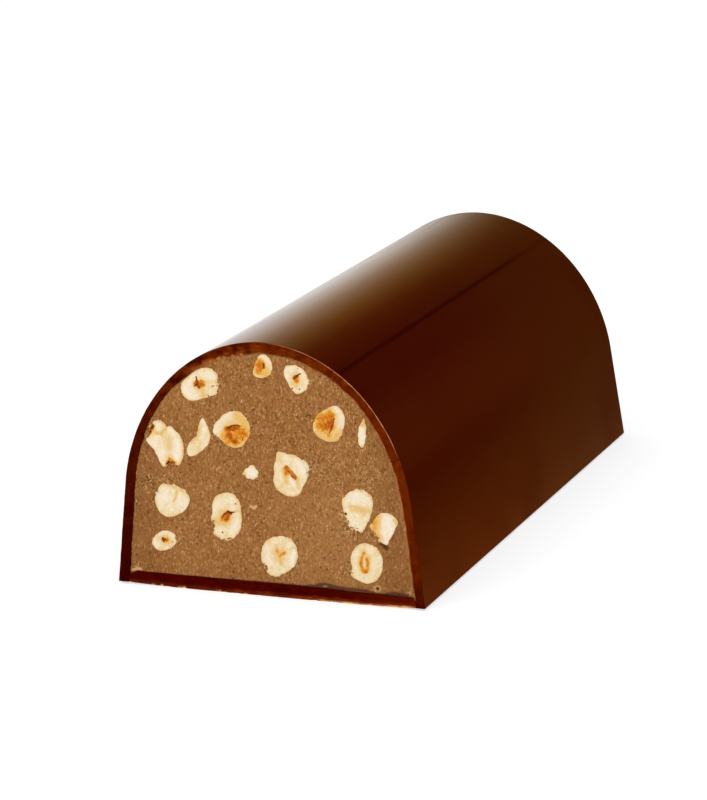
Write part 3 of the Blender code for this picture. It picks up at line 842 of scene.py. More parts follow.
def round_radius(direction, angles, radii):
    """The radius in a direction, on a smooth closed line through the known ones."""
    count = len(angles)
    turned = np.mod(direction - angles[0], 2.0 * math.pi) + angles[0]
    after = np.searchsorted(angles, turned, side="right")
    before = after - 1
    span_angles = np.concatenate([angles, [angles[0] + 2.0 * math.pi]])
    t = (turned - span_angles[before]) / (span_angles[np.minimum(after, count)] - span_angles[before])
    p0 = radii[(before - 1) % count]
    p1 = radii[before % count]
    p2 = radii[after % count]
    p3 = radii[(after + 1) % count]
    return p1 + 0.5 * t * (p2 - p0 + t * (2 * p0 - 5 * p1 + 4 * p2 - p3 + t * (3 * (p1 - p2) + p3 - p0)))


# Where each shade starts and ends to fade, as shares of a mark's half-width
SHADE_REACH = {"white": (0.4, 1.7), "honey": (0.2, 1.9), "amber": (0.0, 1.9), "dark": (0.0, 1.4)}


def nut_shades(node, x, z, seed):
    """How white, honey, amber and dark a nut's face is at places on it, from its marks."""
    wander_x = x + 0.16 * rough_noise(x, z, 0.9, 51 + seed)
    wander_z = z + 0.16 * rough_noise(x, z, 0.9, 81 + seed)
    shades = {name: np.zeros(len(x)) for name in SHADE_REACH}
    for name, strokes in NUT_MARKS[node].items():
        inner, outer = SHADE_REACH[name]
        for half_width, strength, *points in strokes:
            away = stroke_distance(wander_x, wander_z, points)
            stain = strength * fade(away, inner * half_width, outer * half_width)
            shades[name] = np.maximum(shades[name], stain)
    shades["amber"] *= 1.1 + 0.45 * rough_noise(x, z, 0.9, 61 + seed)
    return shades


def hazelnut(node, seed):
    """One cut nut: a ball pressed flat on the cut, stained and cracked where its marks say."""
    middle, angles, radii, depth = cut_outline(node)
    deselect_all()
    bpy.ops.mesh.primitive_uv_sphere_add(
        segments=NUT_SIDES, ring_count=NUT_RINGS, radius=1.0, rotation=(math.pi / 2.0, 0.0, 0.0)
    )
    nut = start_piece("nut_" + node[-2:])
    ball = vertex_places(nut) * MM
    direction = np.arctan2(ball[:, 2], ball[:, 0])
    fall = np.arccos(np.clip(-ball[:, 1], -1.0, 1.0)) / (math.pi / 2.0)
    radius = round_radius(direction, angles, radii)
    jag_x = np.cos(direction) * radius
    jag_z = np.sin(direction) * radius
    broken = crumbliness(middle[0] + jag_x, middle[1] + jag_z)
    jag = (0.14 + 1.20 * broken) * rough_noise(jag_x + 40.0 * seed, jag_z, 0.9, 41, 2)
    in_front = fall <= 1.0
    ring = np.where(in_front, fall, np.sin(np.minimum(fall, 2.0) * math.pi / 2.0))
    reach = radius + jag
    x = middle[0] + ring * reach * np.cos(direction)
    z = middle[1] + ring * reach * np.sin(direction)
    behind = np.maximum(ball[:, 1], 0.0) * depth

    shades = nut_shades(node, x, z, seed)
    edge = fade(1.0 - ring, 0.0, 0.20) * (0.55 + 0.7 * rough_noise(x, z, 2.2, 71 + seed))
    shades["honey"] = np.maximum(shades["honey"], edge)
    crumbs = fade(-rough_noise(x, z, 0.55, 75 + seed), -0.45, -0.20)
    shades["crumb"] = fade(1.0 - ring, 0.02, 0.30) * broken * crumbs
    relief = 0.03 * rough_noise(x, z, 1.8, 91 + seed) + 0.02 * rough_noise(x, z, 0.5, 95 + seed, 2)
    sunk = 0.40 * shades["dark"] + 0.10 * shades["amber"] + 0.25 * shades["crumb"]
    sunk += 0.14 * fade(1.0 - ring, 0.0, 0.06)
    y = np.where(in_front, FRONT - 0.08 + relief + sunk, FRONT + 0.12 + behind)
    place_vertices(nut, np.column_stack([x, y, z]))
    for name, values in shades.items():
        paint(nut, name, np.where(in_front, values, 0.5 * (name == "honey")))
    face_outwards(nut)
    smooth(nut, 60.0)
    return nut


# ---------------------------------------------------------------- the filling


def praline_filling():
    """The filling: a fine sheet trimmed to the section, sunk where the nuts sit, and drawn back."""
    steps_x = int(round(2.0 * HALF_WIDTH / CELL))
    steps_z = int(round(LOAF_HIGH.z / MM / CELL))
    deselect_all()
    bpy.ops.mesh.primitive_grid_add(
        x_subdivisions=steps_x,
        y_subdivisions=steps_z,
        size=1.0,
        location=(0.0, FRONT * MM, LOAF_HIGH.z / 2.0),
        rotation=(math.pi / 2.0, 0.0, 0.0),
    )
    filling = bpy.context.active_object
    filling.scale = (2.0 * HALF_WIDTH * MM, LOAF_HIGH.z, 1.0)
    filling = start_piece("filling_praline")

    outline_x, outline_z = filling_outline()
    places = vertex_places(filling)
    inside = inside_outline(places[:, 0], places[:, 2], outline_x, outline_z)
    edit(filling)
    work = bmesh.from_edit_mesh(filling.data)
    work.verts.ensure_lookup_table()
    for index in np.nonzero(~inside)[0]:
        work.verts[index].select_set(True)
    bmesh.update_edit_mesh(filling.data)
    bpy.ops.mesh.delete(type="VERT")
    bpy.ops.mesh.select_all(action="SELECT")
    bpy.ops.mesh.delete_loose(use_verts=True, use_edges=True, use_faces=False)
    leave_edit()
    snap_border(filling, outline_x, outline_z)
    front_relief(filling)
    draw_back(filling)
    face_outwards(filling)
    smooth(filling, 60.0)
    return filling


def filling_outline():
    """The filling's edge on the cut, tucked a little under the shell and the base."""
    px, pz, nx, nz = loaf_section(1201)
    wall = rim_wall(np.linspace(0.0, 1.0, 1201))
    x = px - (wall - TUCK) * nx
    z = pz - (wall - TUCK) * nz
    floor = BASE_TOP - BASE_FALL - TUCK
    keep = z > floor - 0.6
    x, z = x[keep], z[keep]
    x = np.concatenate([[-HALF_WIDTH + 5.5], x, [HALF_WIDTH - 5.5]])
    z = np.concatenate([[floor], z, [floor]])
    return x, z


def inside_outline(x, z, outline_x, outline_z):
    """Which places lie inside a closed outline."""
    inside = np.zeros(len(x), dtype=bool)
    count = len(outline_x)
    for index in range(count):
        ax, az = outline_x[index - 1], outline_z[index - 1]
        bx, bz = outline_x[index], outline_z[index]
        if az == bz:
            continue
        crosses = (az > z) != (bz > z)
        at = ax + (z - az) * (bx - ax) / (bz - az)
        inside ^= crosses & (x < at)
    return inside


def snap_border(filling, outline_x, outline_z):
    """Moves the trimmed sheet's stepped border onto the outline."""
    work = bmesh.new()
    work.from_mesh(filling.data)
    loop_x = np.append(outline_x, outline_x[0])
    loop_z = np.append(outline_z, outline_z[0])
    ax, az = loop_x[:-1], loop_z[:-1]
    dx, dz = np.diff(loop_x), np.diff(loop_z)
    run = np.maximum(dx * dx + dz * dz, 1e-12)
    for vert in work.verts:
        if vert.is_boundary:
            x, z = vert.co.x / MM, vert.co.z / MM
            t = np.clip(((x - ax) * dx + (z - az) * dz) / run, 0.0, 1.0)
            near = np.argmin(np.hypot(x - ax - t * dx, z - az - t * dz))
            vert.co.x = (ax[near] + t[near] * dx[near]) * MM
            vert.co.z = (az[near] + t[near] * dz[near]) * MM
    work.to_mesh(filling.data)
    work.free()


def crumbliness(x, z):
    """How far the praline broke up at places on the cut, from 0 to 1."""
    crumbly = np.zeros(np.shape(x))
    for (cx, cz), reach, strength in CRUMBLY:
        away = np.hypot(x - cx, z - cz) + 1.2 * rough_noise(x, z, 2.0, 102)
        crumbly = np.maximum(crumbly, strength * fade(away, reach * 0.35, reach))
    return crumbly


def outline_distance(x, z, outline_x, outline_z):
    """How far places are from an open line through many points."""
    best = np.full(len(x), np.inf)
    for ax, az, bx, bz in zip(outline_x[:-1], outline_z[:-1], outline_x[1:], outline_z[1:]):
        near = (np.abs(x - ax) < 2.5) & (np.abs(z - az) < 2.5)
        best[near] = np.minimum(best[near], stroke_distance(x[near], z[near], [(ax, az), (bx, bz)]))
    return best


def scattered(x, z, count, smallest, largest, seed):
    """A mask of many small ragged spots over the cut."""
    draw = np.random.default_rng(seed)
    wander_x = x + 0.16 * rough_noise(x, z, 0.7, seed + 1)
    wander_z = z + 0.16 * rough_noise(x, z, 0.7, seed + 2)
    spots = np.zeros(len(x))
    for _ in range(count):
        cx, cz = draw.uniform(-41.0, 41.0), draw.uniform(3.5, 67.5)
        radius = draw.uniform(smallest, largest)
        stretch = draw.uniform(0.65, 1.5)
        near = (np.abs(x - cx) < 1.3) & (np.abs(z - cz) < 1.3)
        away = np.hypot((wander_x[near] - cx) / stretch, (wander_z[near] - cz) * stretch)
        spots[near] = np.maximum(spots[near], fade(away, radius * 0.3, radius))
    return spots


def front_relief(filling):
    """The torn, speckled surface that the knife left, the pockets, and what is painted on it, with a painted
    shadow round each nut and a painted highlight by the shell.
    """
    places = vertex_places(filling)
    x, z = places[:, 0], places[:, 2]
    crumbly = crumbliness(x, z)
    drag = lattice_noise(x * 0.30, z, 0.9, 103) * 0.05
    grain = rough_noise(x, z, 1.3, 104) * 0.08 + lattice_noise(x, z, 0.45, 105) * 0.06
    torn = rough_noise(x, z, 0.9, 106) * 0.30 * crumbly
    pits_and_nut_shadow = 0.85 * scattered(x, z, 620, 0.16, 0.46, 7)
    lumps = 0.25 * scattered(x, z, 420, 0.25, 0.60, 9)
    for kind, half_width, strength, *points in PRALINE_MARKS:
        near = stroke_distance(x + 0.2 * rough_noise(x, z, 0.8, 109), z, points)
        spot = strength * fade(near, 0.5 * half_width, half_width)
        if kind == "pit":
            pits_and_nut_shadow = np.maximum(pits_and_nut_shadow, spot)
            lumps = lumps * (1.0 - spot)
        else:
            lumps = np.maximum(lumps, spot)
    outline_x, outline_z = filling_outline()
    from_shell = outline_distance(x, z, outline_x[1:-1], outline_z[1:-1]) - TUCK
    y = FRONT + 0.05 + drag + grain + torn + 0.30 * pits_and_nut_shadow - 0.14 * lumps + 0.12 * fade(from_shell, 0.0, 0.8)

    tucked = (from_shell < 0.06) | (z < base_top(x) + 0.15)
    y = np.where(tucked, np.maximum(y, FRONT + 0.35), y)

    for node in NUT_NODES:
        middle, angles, radii, _ = cut_outline(node)
        away_x, away_z = x - middle[0], z - middle[1]
        ring = np.hypot(away_x, away_z)
        near = ring < radii.max() + 1.0
        reach = round_radius(np.arctan2(away_z[near], away_x[near]), angles, radii)
        inner = reach - 0.45 - ring[near]
        y[near] = np.where(inner > 0.0, FRONT + POCKET_DEPTH, y[near])
        # A painted shadow along each nut's edge, kept with the pits
        shadow = fade(np.abs(inner + 0.45), 0.1, 0.6) * (0.05 + 0.7 * rough_noise(x[near], z[near], 1.6, 111))
        pits_and_nut_shadow[near] = np.maximum(pits_and_nut_shadow[near], shadow)

    top = read_along(SMEAR_EDGE, x, left=0.0, right=0.0)
    smear = fade(z - top - 0.25 * rough_noise(x, z, 0.9, 107), -0.20, 0.25) * (top > 0.0)
    # Where lumps are strong the smear gives way, so that the painted glints on it show
    smear = smear * (1.0 - fade(1.0 - lumps, 0.0, 0.5)) * (1.0 - 0.5 * pits_and_nut_shadow)
    y = np.where(smear > 0.5, y - 0.05, y)
    places[:, 1] = y
    place_vertices(filling, places)
    paint(filling, "crumbly", crumbly)
    paint(filling, "pit", pits_and_nut_shadow)
    paint(filling, "lump", lumps)
    paint(filling, "smear", smear)
    # A painted highlight along the filling's edge by the shell, strongest low on the right
    beside = fade(from_shell + 0.25 * rough_noise(x, z, 0.8, 108), 0.10, 0.60)
    paint(filling, "shell_edge_highlight", beside * np.where((x > 33.0) & (z < 42.0), 0.35, 0.1))


def draw_back(filling):
    """Draws the sheet's border back along the loaf and closes the far end."""
    select_edges(filling, is_open)
    length = (BACK - FRONT - 12.0) * MM
    bpy.ops.mesh.extrude_region_move(TRANSFORM_OT_translate={"value": (0.0, length, 0.0)})
    bpy.ops.mesh.edge_face_add()
    leave_edit()
    places = vertex_places(filling)
    far = places[:, 1] > 0.0
    places[far, 1] = BACK - 3.0 - places[far, 2] * math.tan(END_DRAFT)
    place_vertices(filling, places)


# ------------------------------------------------------------------- materials


def linear(red, green, blue):
    """A colour named by its display values from 0 to 255, as shader values."""
    def one(value):
        share = value / 255.0
        if share <= 0.04045:
            return share / 12.92
        return ((share + 0.055) / 1.055) ** 2.4
    return (one(red), one(green), one(blue), 1.0)


class Shading:
    """A material's nodes, made and joined in few words."""

    def __init__(self, tree):
        self.tree = tree

    def feed(self, node, sources):
        """Feeds a node's inputs, by name or number, each from a socket or with a value."""
        for key, source in sources.items():
            if isinstance(source, bpy.types.NodeSocket):
                self.tree.links.new(source, node.inputs[key])
            else:
                node.inputs[key].default_value = source

    def node(self, kind, sources=None, **settings):
        """A node with its settings and what feeds it."""
        node = self.tree.nodes.new(kind)
        for key, value in settings.items():
            setattr(node, key, value)
        self.feed(node, sources or {})
        return node

    def value(self, operation, a, b=0.0, clamp=False):
        """One sum on values."""
        return self.node("ShaderNodeMath", {0: a, 1: b}, operation=operation, use_clamp=clamp).outputs[0]

    def plus(self, a, b):
        return self.value("ADD", a, b)

    def minus(self, a, b):
        return self.value("SUBTRACT", a, b)

    def times(self, a, b):
        return self.value("MULTIPLY", a, b)

    def mix(self, share, a, b, blend="MIX"):
        """One colour over another by a share."""
        sources = {0: share, 6: a, 7: b}
        return self.node("ShaderNodeMix", sources, data_type="RGBA", blend_type=blend).outputs[2]

    def coats(self, colour, *coats):
        """Colours laid over one: each by a mask, or a value kept on the vertices, and its strength."""
        for mask, strength, tone in coats:
            if isinstance(mask, str):
                mask = self.attribute(mask)
            colour = self.mix(self.times(mask, strength), colour, linear(*tone))
        return colour

    def ramp(self, value, stops):
        """A colour ramp through (place, colour) stops."""
        node = self.node("ShaderNodeValToRGB", {0: value})
        elements = node.color_ramp.elements
        while len(elements) < len(stops):
            elements.new(0.5)
        for element, (place, colour) in zip(elements, stops):
            element.position = place
            element.color = colour
        return node.outputs[0]

    def tones(self, value, *stops):
        """A colour ramp through stops of a place and display values."""
        return self.ramp(value, [(place, linear(*tone)) for place, *tone in stops])

    def step(self, value, low, high):
        """A smooth step of a value between low and high."""
        sources = {"Value": value, "From Min": low, "From Max": high}
        return self.node("ShaderNodeMapRange", sources, interpolation_type="SMOOTHSTEP").outputs["Result"]

    def attribute(self, name):
        """A value kept on the piece's vertices."""
        return self.node("ShaderNodeAttribute", attribute_name=name).outputs["Fac"]

    def places(self, scale=(1.0, 1.0, 1.0), turn=(0.0, 0.0, 0.0)):
        """The piece's own coordinates in millimetres, stretched and turned."""
        own = self.node("ShaderNodeTexCoord").outputs["Object"]
        sources = {"Vector": own, "Scale": [value / MM for value in scale], "Rotation": turn}
        return self.node("ShaderNodeMapping", sources).outputs["Vector"]

    def axis(self, places, name):
        """How far places are along X, Y or Z."""
        return self.node("ShaderNodeSeparateXYZ", {0: places}).outputs[name]

    def noise(self, places, size, detail=2.0, roughness=0.5, output="Fac"):
        """Soft noise in lumps of about `size` millimetres, from 0 to 1."""
        sources = {"Vector": places, "Scale": 1.0 / size, "Detail": detail, "Roughness": roughness}
        return self.node("ShaderNodeTexNoise", sources).outputs[output]

    def cell_shade(self, places, size):
        """Grains of about `size`, each with a value of its own from 0 to 1."""
        cell = self.node("ShaderNodeTexVoronoi", {"Vector": places, "Scale": 1.0 / size})
        return self.node("ShaderNodeSeparateColor", {0: cell.outputs["Color"]}).outputs[0]

    def wander(self, places, size, reach):
        """The places moved about by up to `reach` millimetres, so that what is drawn on them is ragged."""
        noise = self.noise(places, size, output="Color")
        off = self.node("ShaderNodeVectorMath", {0: noise, 1: (0.5, 0.5, 0.5)}, operation="SUBTRACT")
        sources = {0: off.outputs[0], 1: (2.0 * reach,) * 3, 2: places}
        return self.node("ShaderNodeVectorMath", sources, operation="MULTIPLY_ADD").outputs[0]

    def bump(self, height, strength, depth):
        """A normal from a height field of this depth in millimetres."""
        sources = {"Height": height, "Strength": strength, "Distance": depth * MM}
        return self.node("ShaderNodeBump", sources).outputs["Normal"]


def new_material(name):
    """An empty material with its Principled shader."""
    material = bpy.data.materials.new(name)
    material.use_nodes = True
    return material, material.node_tree.nodes["Principled BSDF"], Shading(material.node_tree)


def finish_shader(shading, shader, colour, roughness, gloss, normal=None):
    """Gives the Principled shader its colour, roughness, gloss and relief."""
    shading.feed(shader, {"Base Color": colour, "Roughness": roughness, "Specular IOR Level": gloss})
    if normal:
        shading.feed(shader, {"Normal": normal})


def speckle_group():
    """Scattered round specks: a mask from cell size, speck size and how many cells hold one."""
    group = bpy.data.node_groups.new("Scattered Specks", "ShaderNodeTree")
    group.interface.new_socket("Vector", in_out="INPUT", socket_type="NodeSocketVector")
    for name in ("Cell Scale", "Speck Size", "Share"):
        group.interface.new_socket(name, in_out="INPUT", socket_type="NodeSocketFloat")
    group.interface.new_socket("Mask", in_out="OUTPUT", socket_type="NodeSocketFloat")
    shading = Shading(group)
    start = shading.node("NodeGroupInput")
    sources = {"Vector": start.outputs["Vector"], "Scale": start.outputs["Cell Scale"]}
    cell = shading.node("ShaderNodeTexVoronoi", sources)
    split = shading.node("ShaderNodeSeparateColor", {0: cell.outputs["Color"]})
    chosen = shading.value("LESS_THAN", split.outputs[0], start.outputs["Share"])
    size = shading.times(start.outputs["Speck Size"], shading.plus(split.outputs[1], 0.35))
    edge = shading.minus(size, cell.outputs["Distance"])
    soft = shading.value("MULTIPLY", edge, 9.0, clamp=True)
    shading.node("NodeGroupOutput", {"Mask": shading.times(soft, chosen)})
    return group


def specks(shading, group, places, cell, size, share):
    """The speck mask with this material's own values."""
    sources = {"Vector": places, "Cell Scale": 1.0 / cell, "Speck Size": size, "Share": share}
    return shading.node("ShaderNodeGroup", sources, node_tree=group).outputs["Mask"]


def moulded_chocolate():
    """The shell's moulded outside: dark and glossy, with painted reflection of the table paler near the foot,
    painted sheen bands up to the crown, and a painted dark line where the sheen ends.
    """
    material, shader, shading = new_material("moulded dark chocolate")
    places = shading.places()
    along = shading.axis(places, "Y")
    height = shading.times(shading.axis(places, "Z"), 1.0 / LOAF_HEIGHT)
    # Painted reflection by height: paler near the foot where the table shows, with lighter and darker bands
    # up to the crown where the sheen shows
    near = shading.tones(
        height,
        (0.00, 98, 40, 8), (0.12, 88, 32, 3), (0.26, 77, 24, 1), (0.40, 67, 13, 0), (0.48, 66, 11, 0),
        (0.60, 76, 21, 1), (0.70, 76, 21, 1), (0.82, 67, 10, 0), (0.93, 70, 14, 0), (1.00, 82, 26, 0),
    )
    # The same painted reflection, browner, towards the far end
    far = shading.tones(height, (0.0, 88, 44, 20), (0.15, 75, 33, 11), (0.35, 70, 27, 4), (0.6, 71, 26, 1))
    cloud = shading.step(shading.noise(places, 26.0, 3.0), 0.45, 0.75)
    colour = shading.mix(shading.step(along, -60.0, 95.0), near, far)
    # The painted dark line where the sheen ends goes over the cloudy tone
    colour = shading.coats(colour, (cloud, 0.45, (66, 14, 1)), ("sheen_edge_line", 0.95, (46, 0, 0)))
    streak = shading.step(shading.noise(shading.places(scale=(1.0, 0.08, 1.0)), 2.2, 3.0), 0.3, 0.8)
    dull_end = shading.step(along, -40.0, 120.0)
    rough = shading.plus(shading.plus(shading.times(streak, 0.05), 0.12), shading.times(dull_end, 0.08))
    normal = shading.bump(shading.noise(places, 3.2, 3.0), 0.12, 0.05)
    finish_shader(shading, shader, colour, rough, 0.5, normal)
    shading.feed(shader, {"IOR": shading.minus(1.5, shading.times(dull_end, 0.41))})
    return material


def cut_chocolate():
    """The rim where the knife went through the shell: duller, finely dragged, redder, with painted light and
    shade across it and painted highlights along its edges.
    """
    material, shader, shading = new_material("cut dark chocolate")
    drag = shading.noise(shading.places(scale=(0.3, 1.0, 1.0), turn=(0.0, 0.5, 0.0)), 0.8, 4.0)
    cloud = shading.step(shading.noise(shading.places(), 2.2, 5.0, 0.65), 0.32, 0.68)
    shade = shading.mix(cloud, linear(44, 0, 0), linear(58, 3, 1))
    light = shading.mix(cloud, linear(84, 22, 0), linear(110, 40, 2))
    # The attribute tone is painted light and shade: it mixes a shaded copy of the cut chocolate into a lit
    # one
    tone = shading.attribute("tone")
    colour = shading.coats(
        shading.mix(tone, shade, light),
        ("blotch", 0.85, (58, 4, 0)),
        ("warm", 0.75, (172, 92, 36)),
        (shading.times(shading.step(drag, 0.60, 0.78), tone), 0.6, (166, 80, 26)),
        # The painted highlights: along the inner edge, kept with the chips, and along the arris
        ("chip_and_lip_highlight", 0.85, (218, 142, 84)),
        ("arris", 1.0, (232, 172, 124)),
    )
    normal = shading.bump(drag, 0.35, 0.12)
    finish_shader(shading, shader, colour, 0.5, 0.0, normal)
    return material


def base_chocolate():
    """The base's chocolate, dark above, with painted reflection of the table low on its front and painted
    glints along its lower front edge.
    """
    material, shader, shading = new_material("base dark chocolate")
    places = shading.places()
    band = shading.noise(shading.places(scale=(0.12, 1.0, 1.0)), 0.9, 3.0)
    colour = shading.coats(
        shading.tones(shading.noise(places, 3.0, 4.0, 0.6), (0.34, 54, 1, 0), (0.66, 74, 6, 1)),
        # The lighter low band is painted reflection of the table
        (shading.times(shading.attribute("low"), shading.step(band, 0.25, 0.60)), 0.9, (132, 50, 16)),
        (shading.step(shading.axis(places, "X"), 12.0, 44.0), 0.6, (92, 20, 3)),
        # The painted glints along the lower front edge
        ("edge_glint", 1.0, (222, 164, 100)),
    )
    normal = shading.bump(shading.noise(shading.places(scale=(0.2, 1.0, 1.0)), 0.7, 4.0), 0.3, 0.1)
    finish_shader(shading, shader, colour, 0.45, 0.0, normal)
    return material


def praline(group):
    """The praline paste: fine mottling, dark cocoa specks, pale nut crumbs and chocolate smears, with a
    painted shadow round the nuts, painted glints on the smear and a painted highlight by the shell.
    """
    material, shader, shading = new_material("hazelnut praline")
    places = shading.places()
    across = shading.axis(places, "X")
    up = shading.axis(places, "Z")
    mottle = shading.noise(places, 2.4, 4.0, 0.62)
    middle = shading.noise(places, 1.0, 3.0, 0.6)
    fine = shading.noise(shading.places(scale=(1.0, 1.0, 0.55)), 0.42, 2.0, 0.6)
    torn = shading.step(shading.noise(places, 5.0, 2.0), 0.40, 0.66)
    colour = shading.tones(shading.noise(places, 9.0, 3.0), (0.34, 146, 93, 47), (0.66, 176, 124, 70))
    shade = shading.tones(
        mottle, (0.28, 112, 68, 32), (0.42, 150, 98, 50), (0.60, 164, 111, 60), (0.76, 200, 150, 92)
    )
    colour = shading.mix(0.60, colour, shade)
    lumps = shading.tones(
        middle, (0.28, 92, 52, 24), (0.42, 150, 98, 50), (0.60, 164, 112, 62), (0.74, 220, 172, 112)
    )
    colour = shading.mix(shading.plus(shading.times(torn, 0.30), 0.25), colour, lumps)
    grain = shading.tones(
        fine, (0.26, 56, 28, 10), (0.42, 142, 90, 46), (0.60, 168, 116, 64), (0.74, 240, 194, 136)
    )
    colour = shading.mix(shading.plus(shading.times(torn, 0.22), 0.52), colour, grain)

    ragged = shading.wander(places, 0.45, 0.45)
    aslant = shading.wander(shading.places(turn=(0.4, 0.3, 0.9)), 0.5, 0.22)
    large = specks(shading, group, ragged, 1.7, 0.13, 0.34)
    hue = shading.noise(places, 3.2, 3.0, 0.6)
    aside = shading.step(shading.value("ABSOLUTE", across), 27.0, 37.0)
    low_right = shading.times(shading.step(across, -8.0, 20.0), shading.step(up, 40.0, 24.0))
    colour = shading.coats(
        colour,
        (specks(shading, group, ragged, 0.8, 0.27, 0.30), 0.74, (86, 46, 20)),
        (large, 0.80, (80, 42, 18)),
        (specks(shading, group, aslant, 1.2, 0.24, 0.26), 0.26, (222, 176, 118)),
        (shading.step(hue, 0.52, 0.66), 0.30, (166, 106, 66)),
        (shading.step(hue, 0.48, 0.34), 0.30, (146, 104, 48)),
        (aside, 0.34, (118, 72, 36)),
        (shading.times(low_right, shading.minus(1.0, aside)), 0.12, (206, 154, 98)),
        (shading.step(up, 13.0, 2.0), 0.18, (118, 72, 36)),
        # The pits, with the painted shadow round each nut
        ("pit", 0.78, (74, 39, 16)),
        # The lumps, with the painted glints on the smear
        ("lump", 0.75, (232, 186, 126)),
    )
    crumb = shading.cell_shade(shading.wander(places, 0.3, 0.2), 0.42)
    grains = shading.tones(
        crumb, (0.0, 58, 28, 8), (0.30, 122, 76, 36), (0.62, 180, 130, 74), (1.0, 224, 176, 116)
    )
    broken = shading.times(shading.attribute("crumbly"), shading.step(mottle, 0.36, 0.58))
    colour = shading.mix(shading.times(broken, 0.78), colour, grains)
    # The painted highlight along the shell, then the smear
    colour = shading.coats(colour, ("shell_edge_highlight", 0.85, (222, 166, 104)), ("smear", 0.90, (82, 48, 34)))
    height = shading.minus(shading.plus(middle, fine), shading.times(large, 0.6))
    normal = shading.bump(height, 0.9, 0.35)
    finish_shader(shading, shader, colour, 0.75, 0.05, normal)
    return material


def nut_flesh():
    """The cut face of a toasted hazelnut: cream, white or honey flesh, an amber heart and dark cracks."""
    material, shader, shading = new_material("toasted hazelnut")
    places = shading.places()
    cloud = shading.noise(places, 1.8, 5.0, 0.6)
    fine = shading.noise(places, 0.45, 3.0, 0.6)
    streak = shading.noise(shading.places(scale=(1.0, 1.0, 0.35), turn=(0.0, 0.6, 0.0)), 0.7, 3.0, 0.6)
    tint = shading.noise(places, 1.3, 3.0, 0.6)
    colour = shading.coats(
        shading.tones(cloud, (0.32, 234, 208, 156), (0.46, 240, 220, 178), (0.60, 247, 234, 204)),
        (shading.step(tint, 0.54, 0.68), 0.40, (246, 214, 182)),
        (shading.step(tint, 0.46, 0.34), 0.40, (224, 210, 152)),
        (shading.step(fine, 0.44, 0.70), 0.5, (218, 184, 122)),
        (shading.times(shading.attribute("white"), shading.step(streak, 0.22, 0.58)), 0.95, (247, 235, 219)),
        (shading.times(shading.attribute("honey"), shading.step(streak, 0.10, 0.54)), 0.85, (228, 178, 88)),
    )
    mark = shading.attribute("amber")
    blur = shading.times(shading.minus(shading.noise(places, 0.9, 4.0, 0.7), 0.5), 1.5)
    amber = shading.plus(mark, shading.times(blur, shading.step(mark, 0.0, 0.50)))
    stain = shading.tones(
        amber, (0.08, 238, 200, 118), (0.30, 232, 172, 72), (0.58, 216, 132, 26), (1.0, 172, 78, 6)
    )
    colour = shading.mix(shading.step(amber, 0.0, 0.46), colour, stain)
    dark = shading.attribute("dark")
    colour = shading.mix(shading.step(dark, 0.05, 0.45), colour, linear(158, 76, 18))
    colour = shading.mix(shading.step(dark, 0.38, 0.85), colour, linear(74, 22, 4))
    grain = shading.ramp(
        shading.noise(places, 0.55, 2.0, 0.7),
        [
            (0.34, (0.89, 0.87, 0.82, 1.0)),
            (0.50, (0.935, 0.92, 0.895, 1.0)),
            (0.66, (0.97, 0.96, 0.945, 1.0)),
        ],
    )
    colour = shading.coats(shading.mix(1.0, colour, grain, "MULTIPLY"), ("crumb", 0.90, (74, 44, 20)))
    normal = shading.bump(fine, 0.25, 0.14)
    finish_shader(shading, shader, colour, 0.55, 0.1, normal)
    return material


# ------------------------------------------------------------- studio and camera


def studio():
    """A pale table and a bright, soft surround, dark to the gloss except low behind the left."""
    deselect_all()
    bpy.ops.mesh.primitive_plane_add(size=6.0, location=(0.0, 0.0, -UNDERSIDE_BOW * MM))
    floor = bpy.context.active_object
    floor.name = "floor"
    floor.visible_glossy = False
    material, shader, shading = new_material("white table")
    finish_shader(shading, shader, (0.55, 0.55, 0.55, 1.0), 1.0, 0.0)
    shading.feed(shader, {"Emission Color": (1.0, 1.0, 1.0, 1.0), "Emission Strength": 0.60})
    floor.data.materials.append(material)

    world = bpy.data.worlds.new("studio")
    world.use_nodes = True
    bpy.context.scene.world = world
    shading = Shading(world.node_tree)
    ways = shading.node("ShaderNodeTexCoord").outputs["Generated"]
    up = shading.axis(ways, "Z")
    above = shading.value("MAXIMUM", up, 0.0)
    low_left = shading.times(shading.plus(shading.axis(ways, "X"), above), -1.0)
    glow = shading.ramp(
        shading.plus(low_left, 0.5),
        [
            (0.00, (0.0, 0.0, 0.0, 1.0)),
            (0.19, (0.060, 0.018, 0.000, 1.0)),
            (0.39, (0.335, 0.185, 0.035, 1.0)),
            (0.60, (0.650, 0.470, 0.280, 1.0)),
            (0.80, (1.000, 0.870, 0.720, 1.0)),
            (0.95, (1.050, 1.030, 1.000, 1.0)),
        ],
    )
    behind = shading.step(shading.axis(ways, "Y"), 0.2, 0.6)
    sheet = shading.mix(behind, (0.0, 0.0, 0.0, 1.0), glow)
    down = shading.step(shading.times(up, -1.0), 0.06, 0.24)
    lift = shading.plus(shading.times(down, 0.3), 1.0)
    raised = shading.node("ShaderNodeVectorMath", operation="SCALE")
    shading.feed(raised, {0: sheet, "Scale": lift})
    path = shading.node("ShaderNodeLightPath")
    light = shading.mix(path.outputs["Is Glossy Ray"], (0.72, 0.72, 0.72, 1.0), raised.outputs[0])
    light = shading.mix(path.outputs["Is Camera Ray"], light, (1.0, 1.0, 1.0, 1.0))
    shading.feed(world.node_tree.nodes["Background"], {"Color": light})

    add_light("key", (-0.45, -0.75, 0.75), 0.5, 2.6, glossy=False)
    add_light("overhead", (0.22, -0.35, 0.75), 0.35, 1.0, glossy=True)


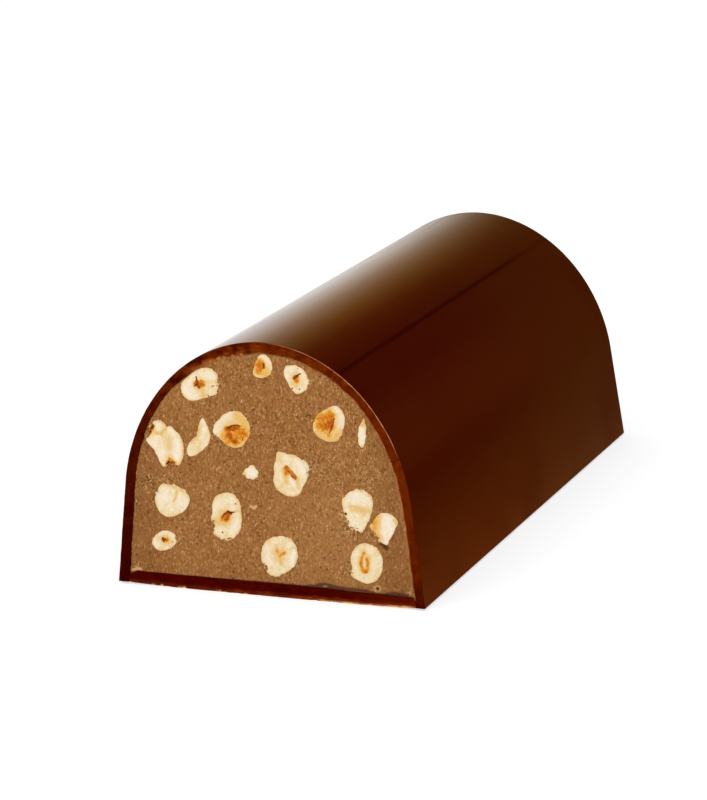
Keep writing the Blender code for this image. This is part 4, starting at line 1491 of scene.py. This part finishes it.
def add_light(name, place, size, power, glossy):
    """A square soft light aimed at the loaf."""
    light = bpy.data.lights.new(name, "AREA")
    light.shape = "SQUARE"
    light.size = size
    light.energy = power
    lamp = bpy.data.objects.new(name, light)
    bpy.context.scene.collection.objects.link(lamp)
    lamp.location = place
    aim = Vector((0.0, -0.05, 0.03)) - Vector(place)
    lamp.rotation_euler = aim.to_track_quat("-Z", "Y").to_euler()
    lamp.visible_glossy = glossy
    lamp.visible_camera = False


def add_camera():
    """The camera, by where it stands round the loaf."""
    back = Vector((
        math.sin(CAMERA_AZIMUTH) * math.cos(CAMERA_ELEVATION),
        -math.cos(CAMERA_AZIMUTH) * math.cos(CAMERA_ELEVATION),
        math.sin(CAMERA_ELEVATION),
    ))
    level = Vector((math.cos(CAMERA_AZIMUTH), math.sin(CAMERA_AZIMUTH), 0.0))
    upright = back.cross(level)
    right = math.cos(CAMERA_ROLL) * level + math.sin(CAMERA_ROLL) * upright
    up = -math.sin(CAMERA_ROLL) * level + math.cos(CAMERA_ROLL) * upright
    data = bpy.data.cameras.new("camera")
    data.lens = CAMERA_LENS
    data.sensor_width = 36.0
    camera = bpy.data.objects.new("camera", data)
    bpy.context.scene.collection.objects.link(camera)
    turn = Matrix((right, up, back)).transposed().to_4x4()
    camera.matrix_world = Matrix.Translation(CAMERA_TARGET + back * CAMERA_DISTANCE) @ turn
    bpy.context.scene.camera = camera
    bpy.context.scene.view_settings.view_transform = "Standard"


# --------------------------------------------------------------------- together


def dress(piece, node, slot, *materials):
    """The piece rides with the loaf, stands for its node and gets its materials."""
    for material in materials:
        piece.data.materials.append(material)
    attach(piece, "root")
    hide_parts(node)


def use_cut_material(shell):
    """Gives the rim's faces the cut chocolate, the shell's second material."""
    cut = shell.data.attributes["cut"].data
    for face in shell.data.polygons:
        if sum(cut[index].value for index in face.vertices) >= 3.0:
            face.material_index = 1


def build():
    group = speckle_group()
    shell = chocolate_shell()
    dress(shell, "chocolate_shell", "chocolate_shell", moulded_chocolate(), cut_chocolate())
    use_cut_material(shell)
    dress(chocolate_base(), "chocolate_base", "chocolate_base", base_chocolate())
    dress(praline_filling(), "praline_filling", "praline_filling", praline(group))
    flesh = nut_flesh()
    for seed, node in enumerate(NUT_NODES):
        dress(hazelnut(node, seed), node, "hazelnut", flesh)
    studio()
    add_camera()


build()
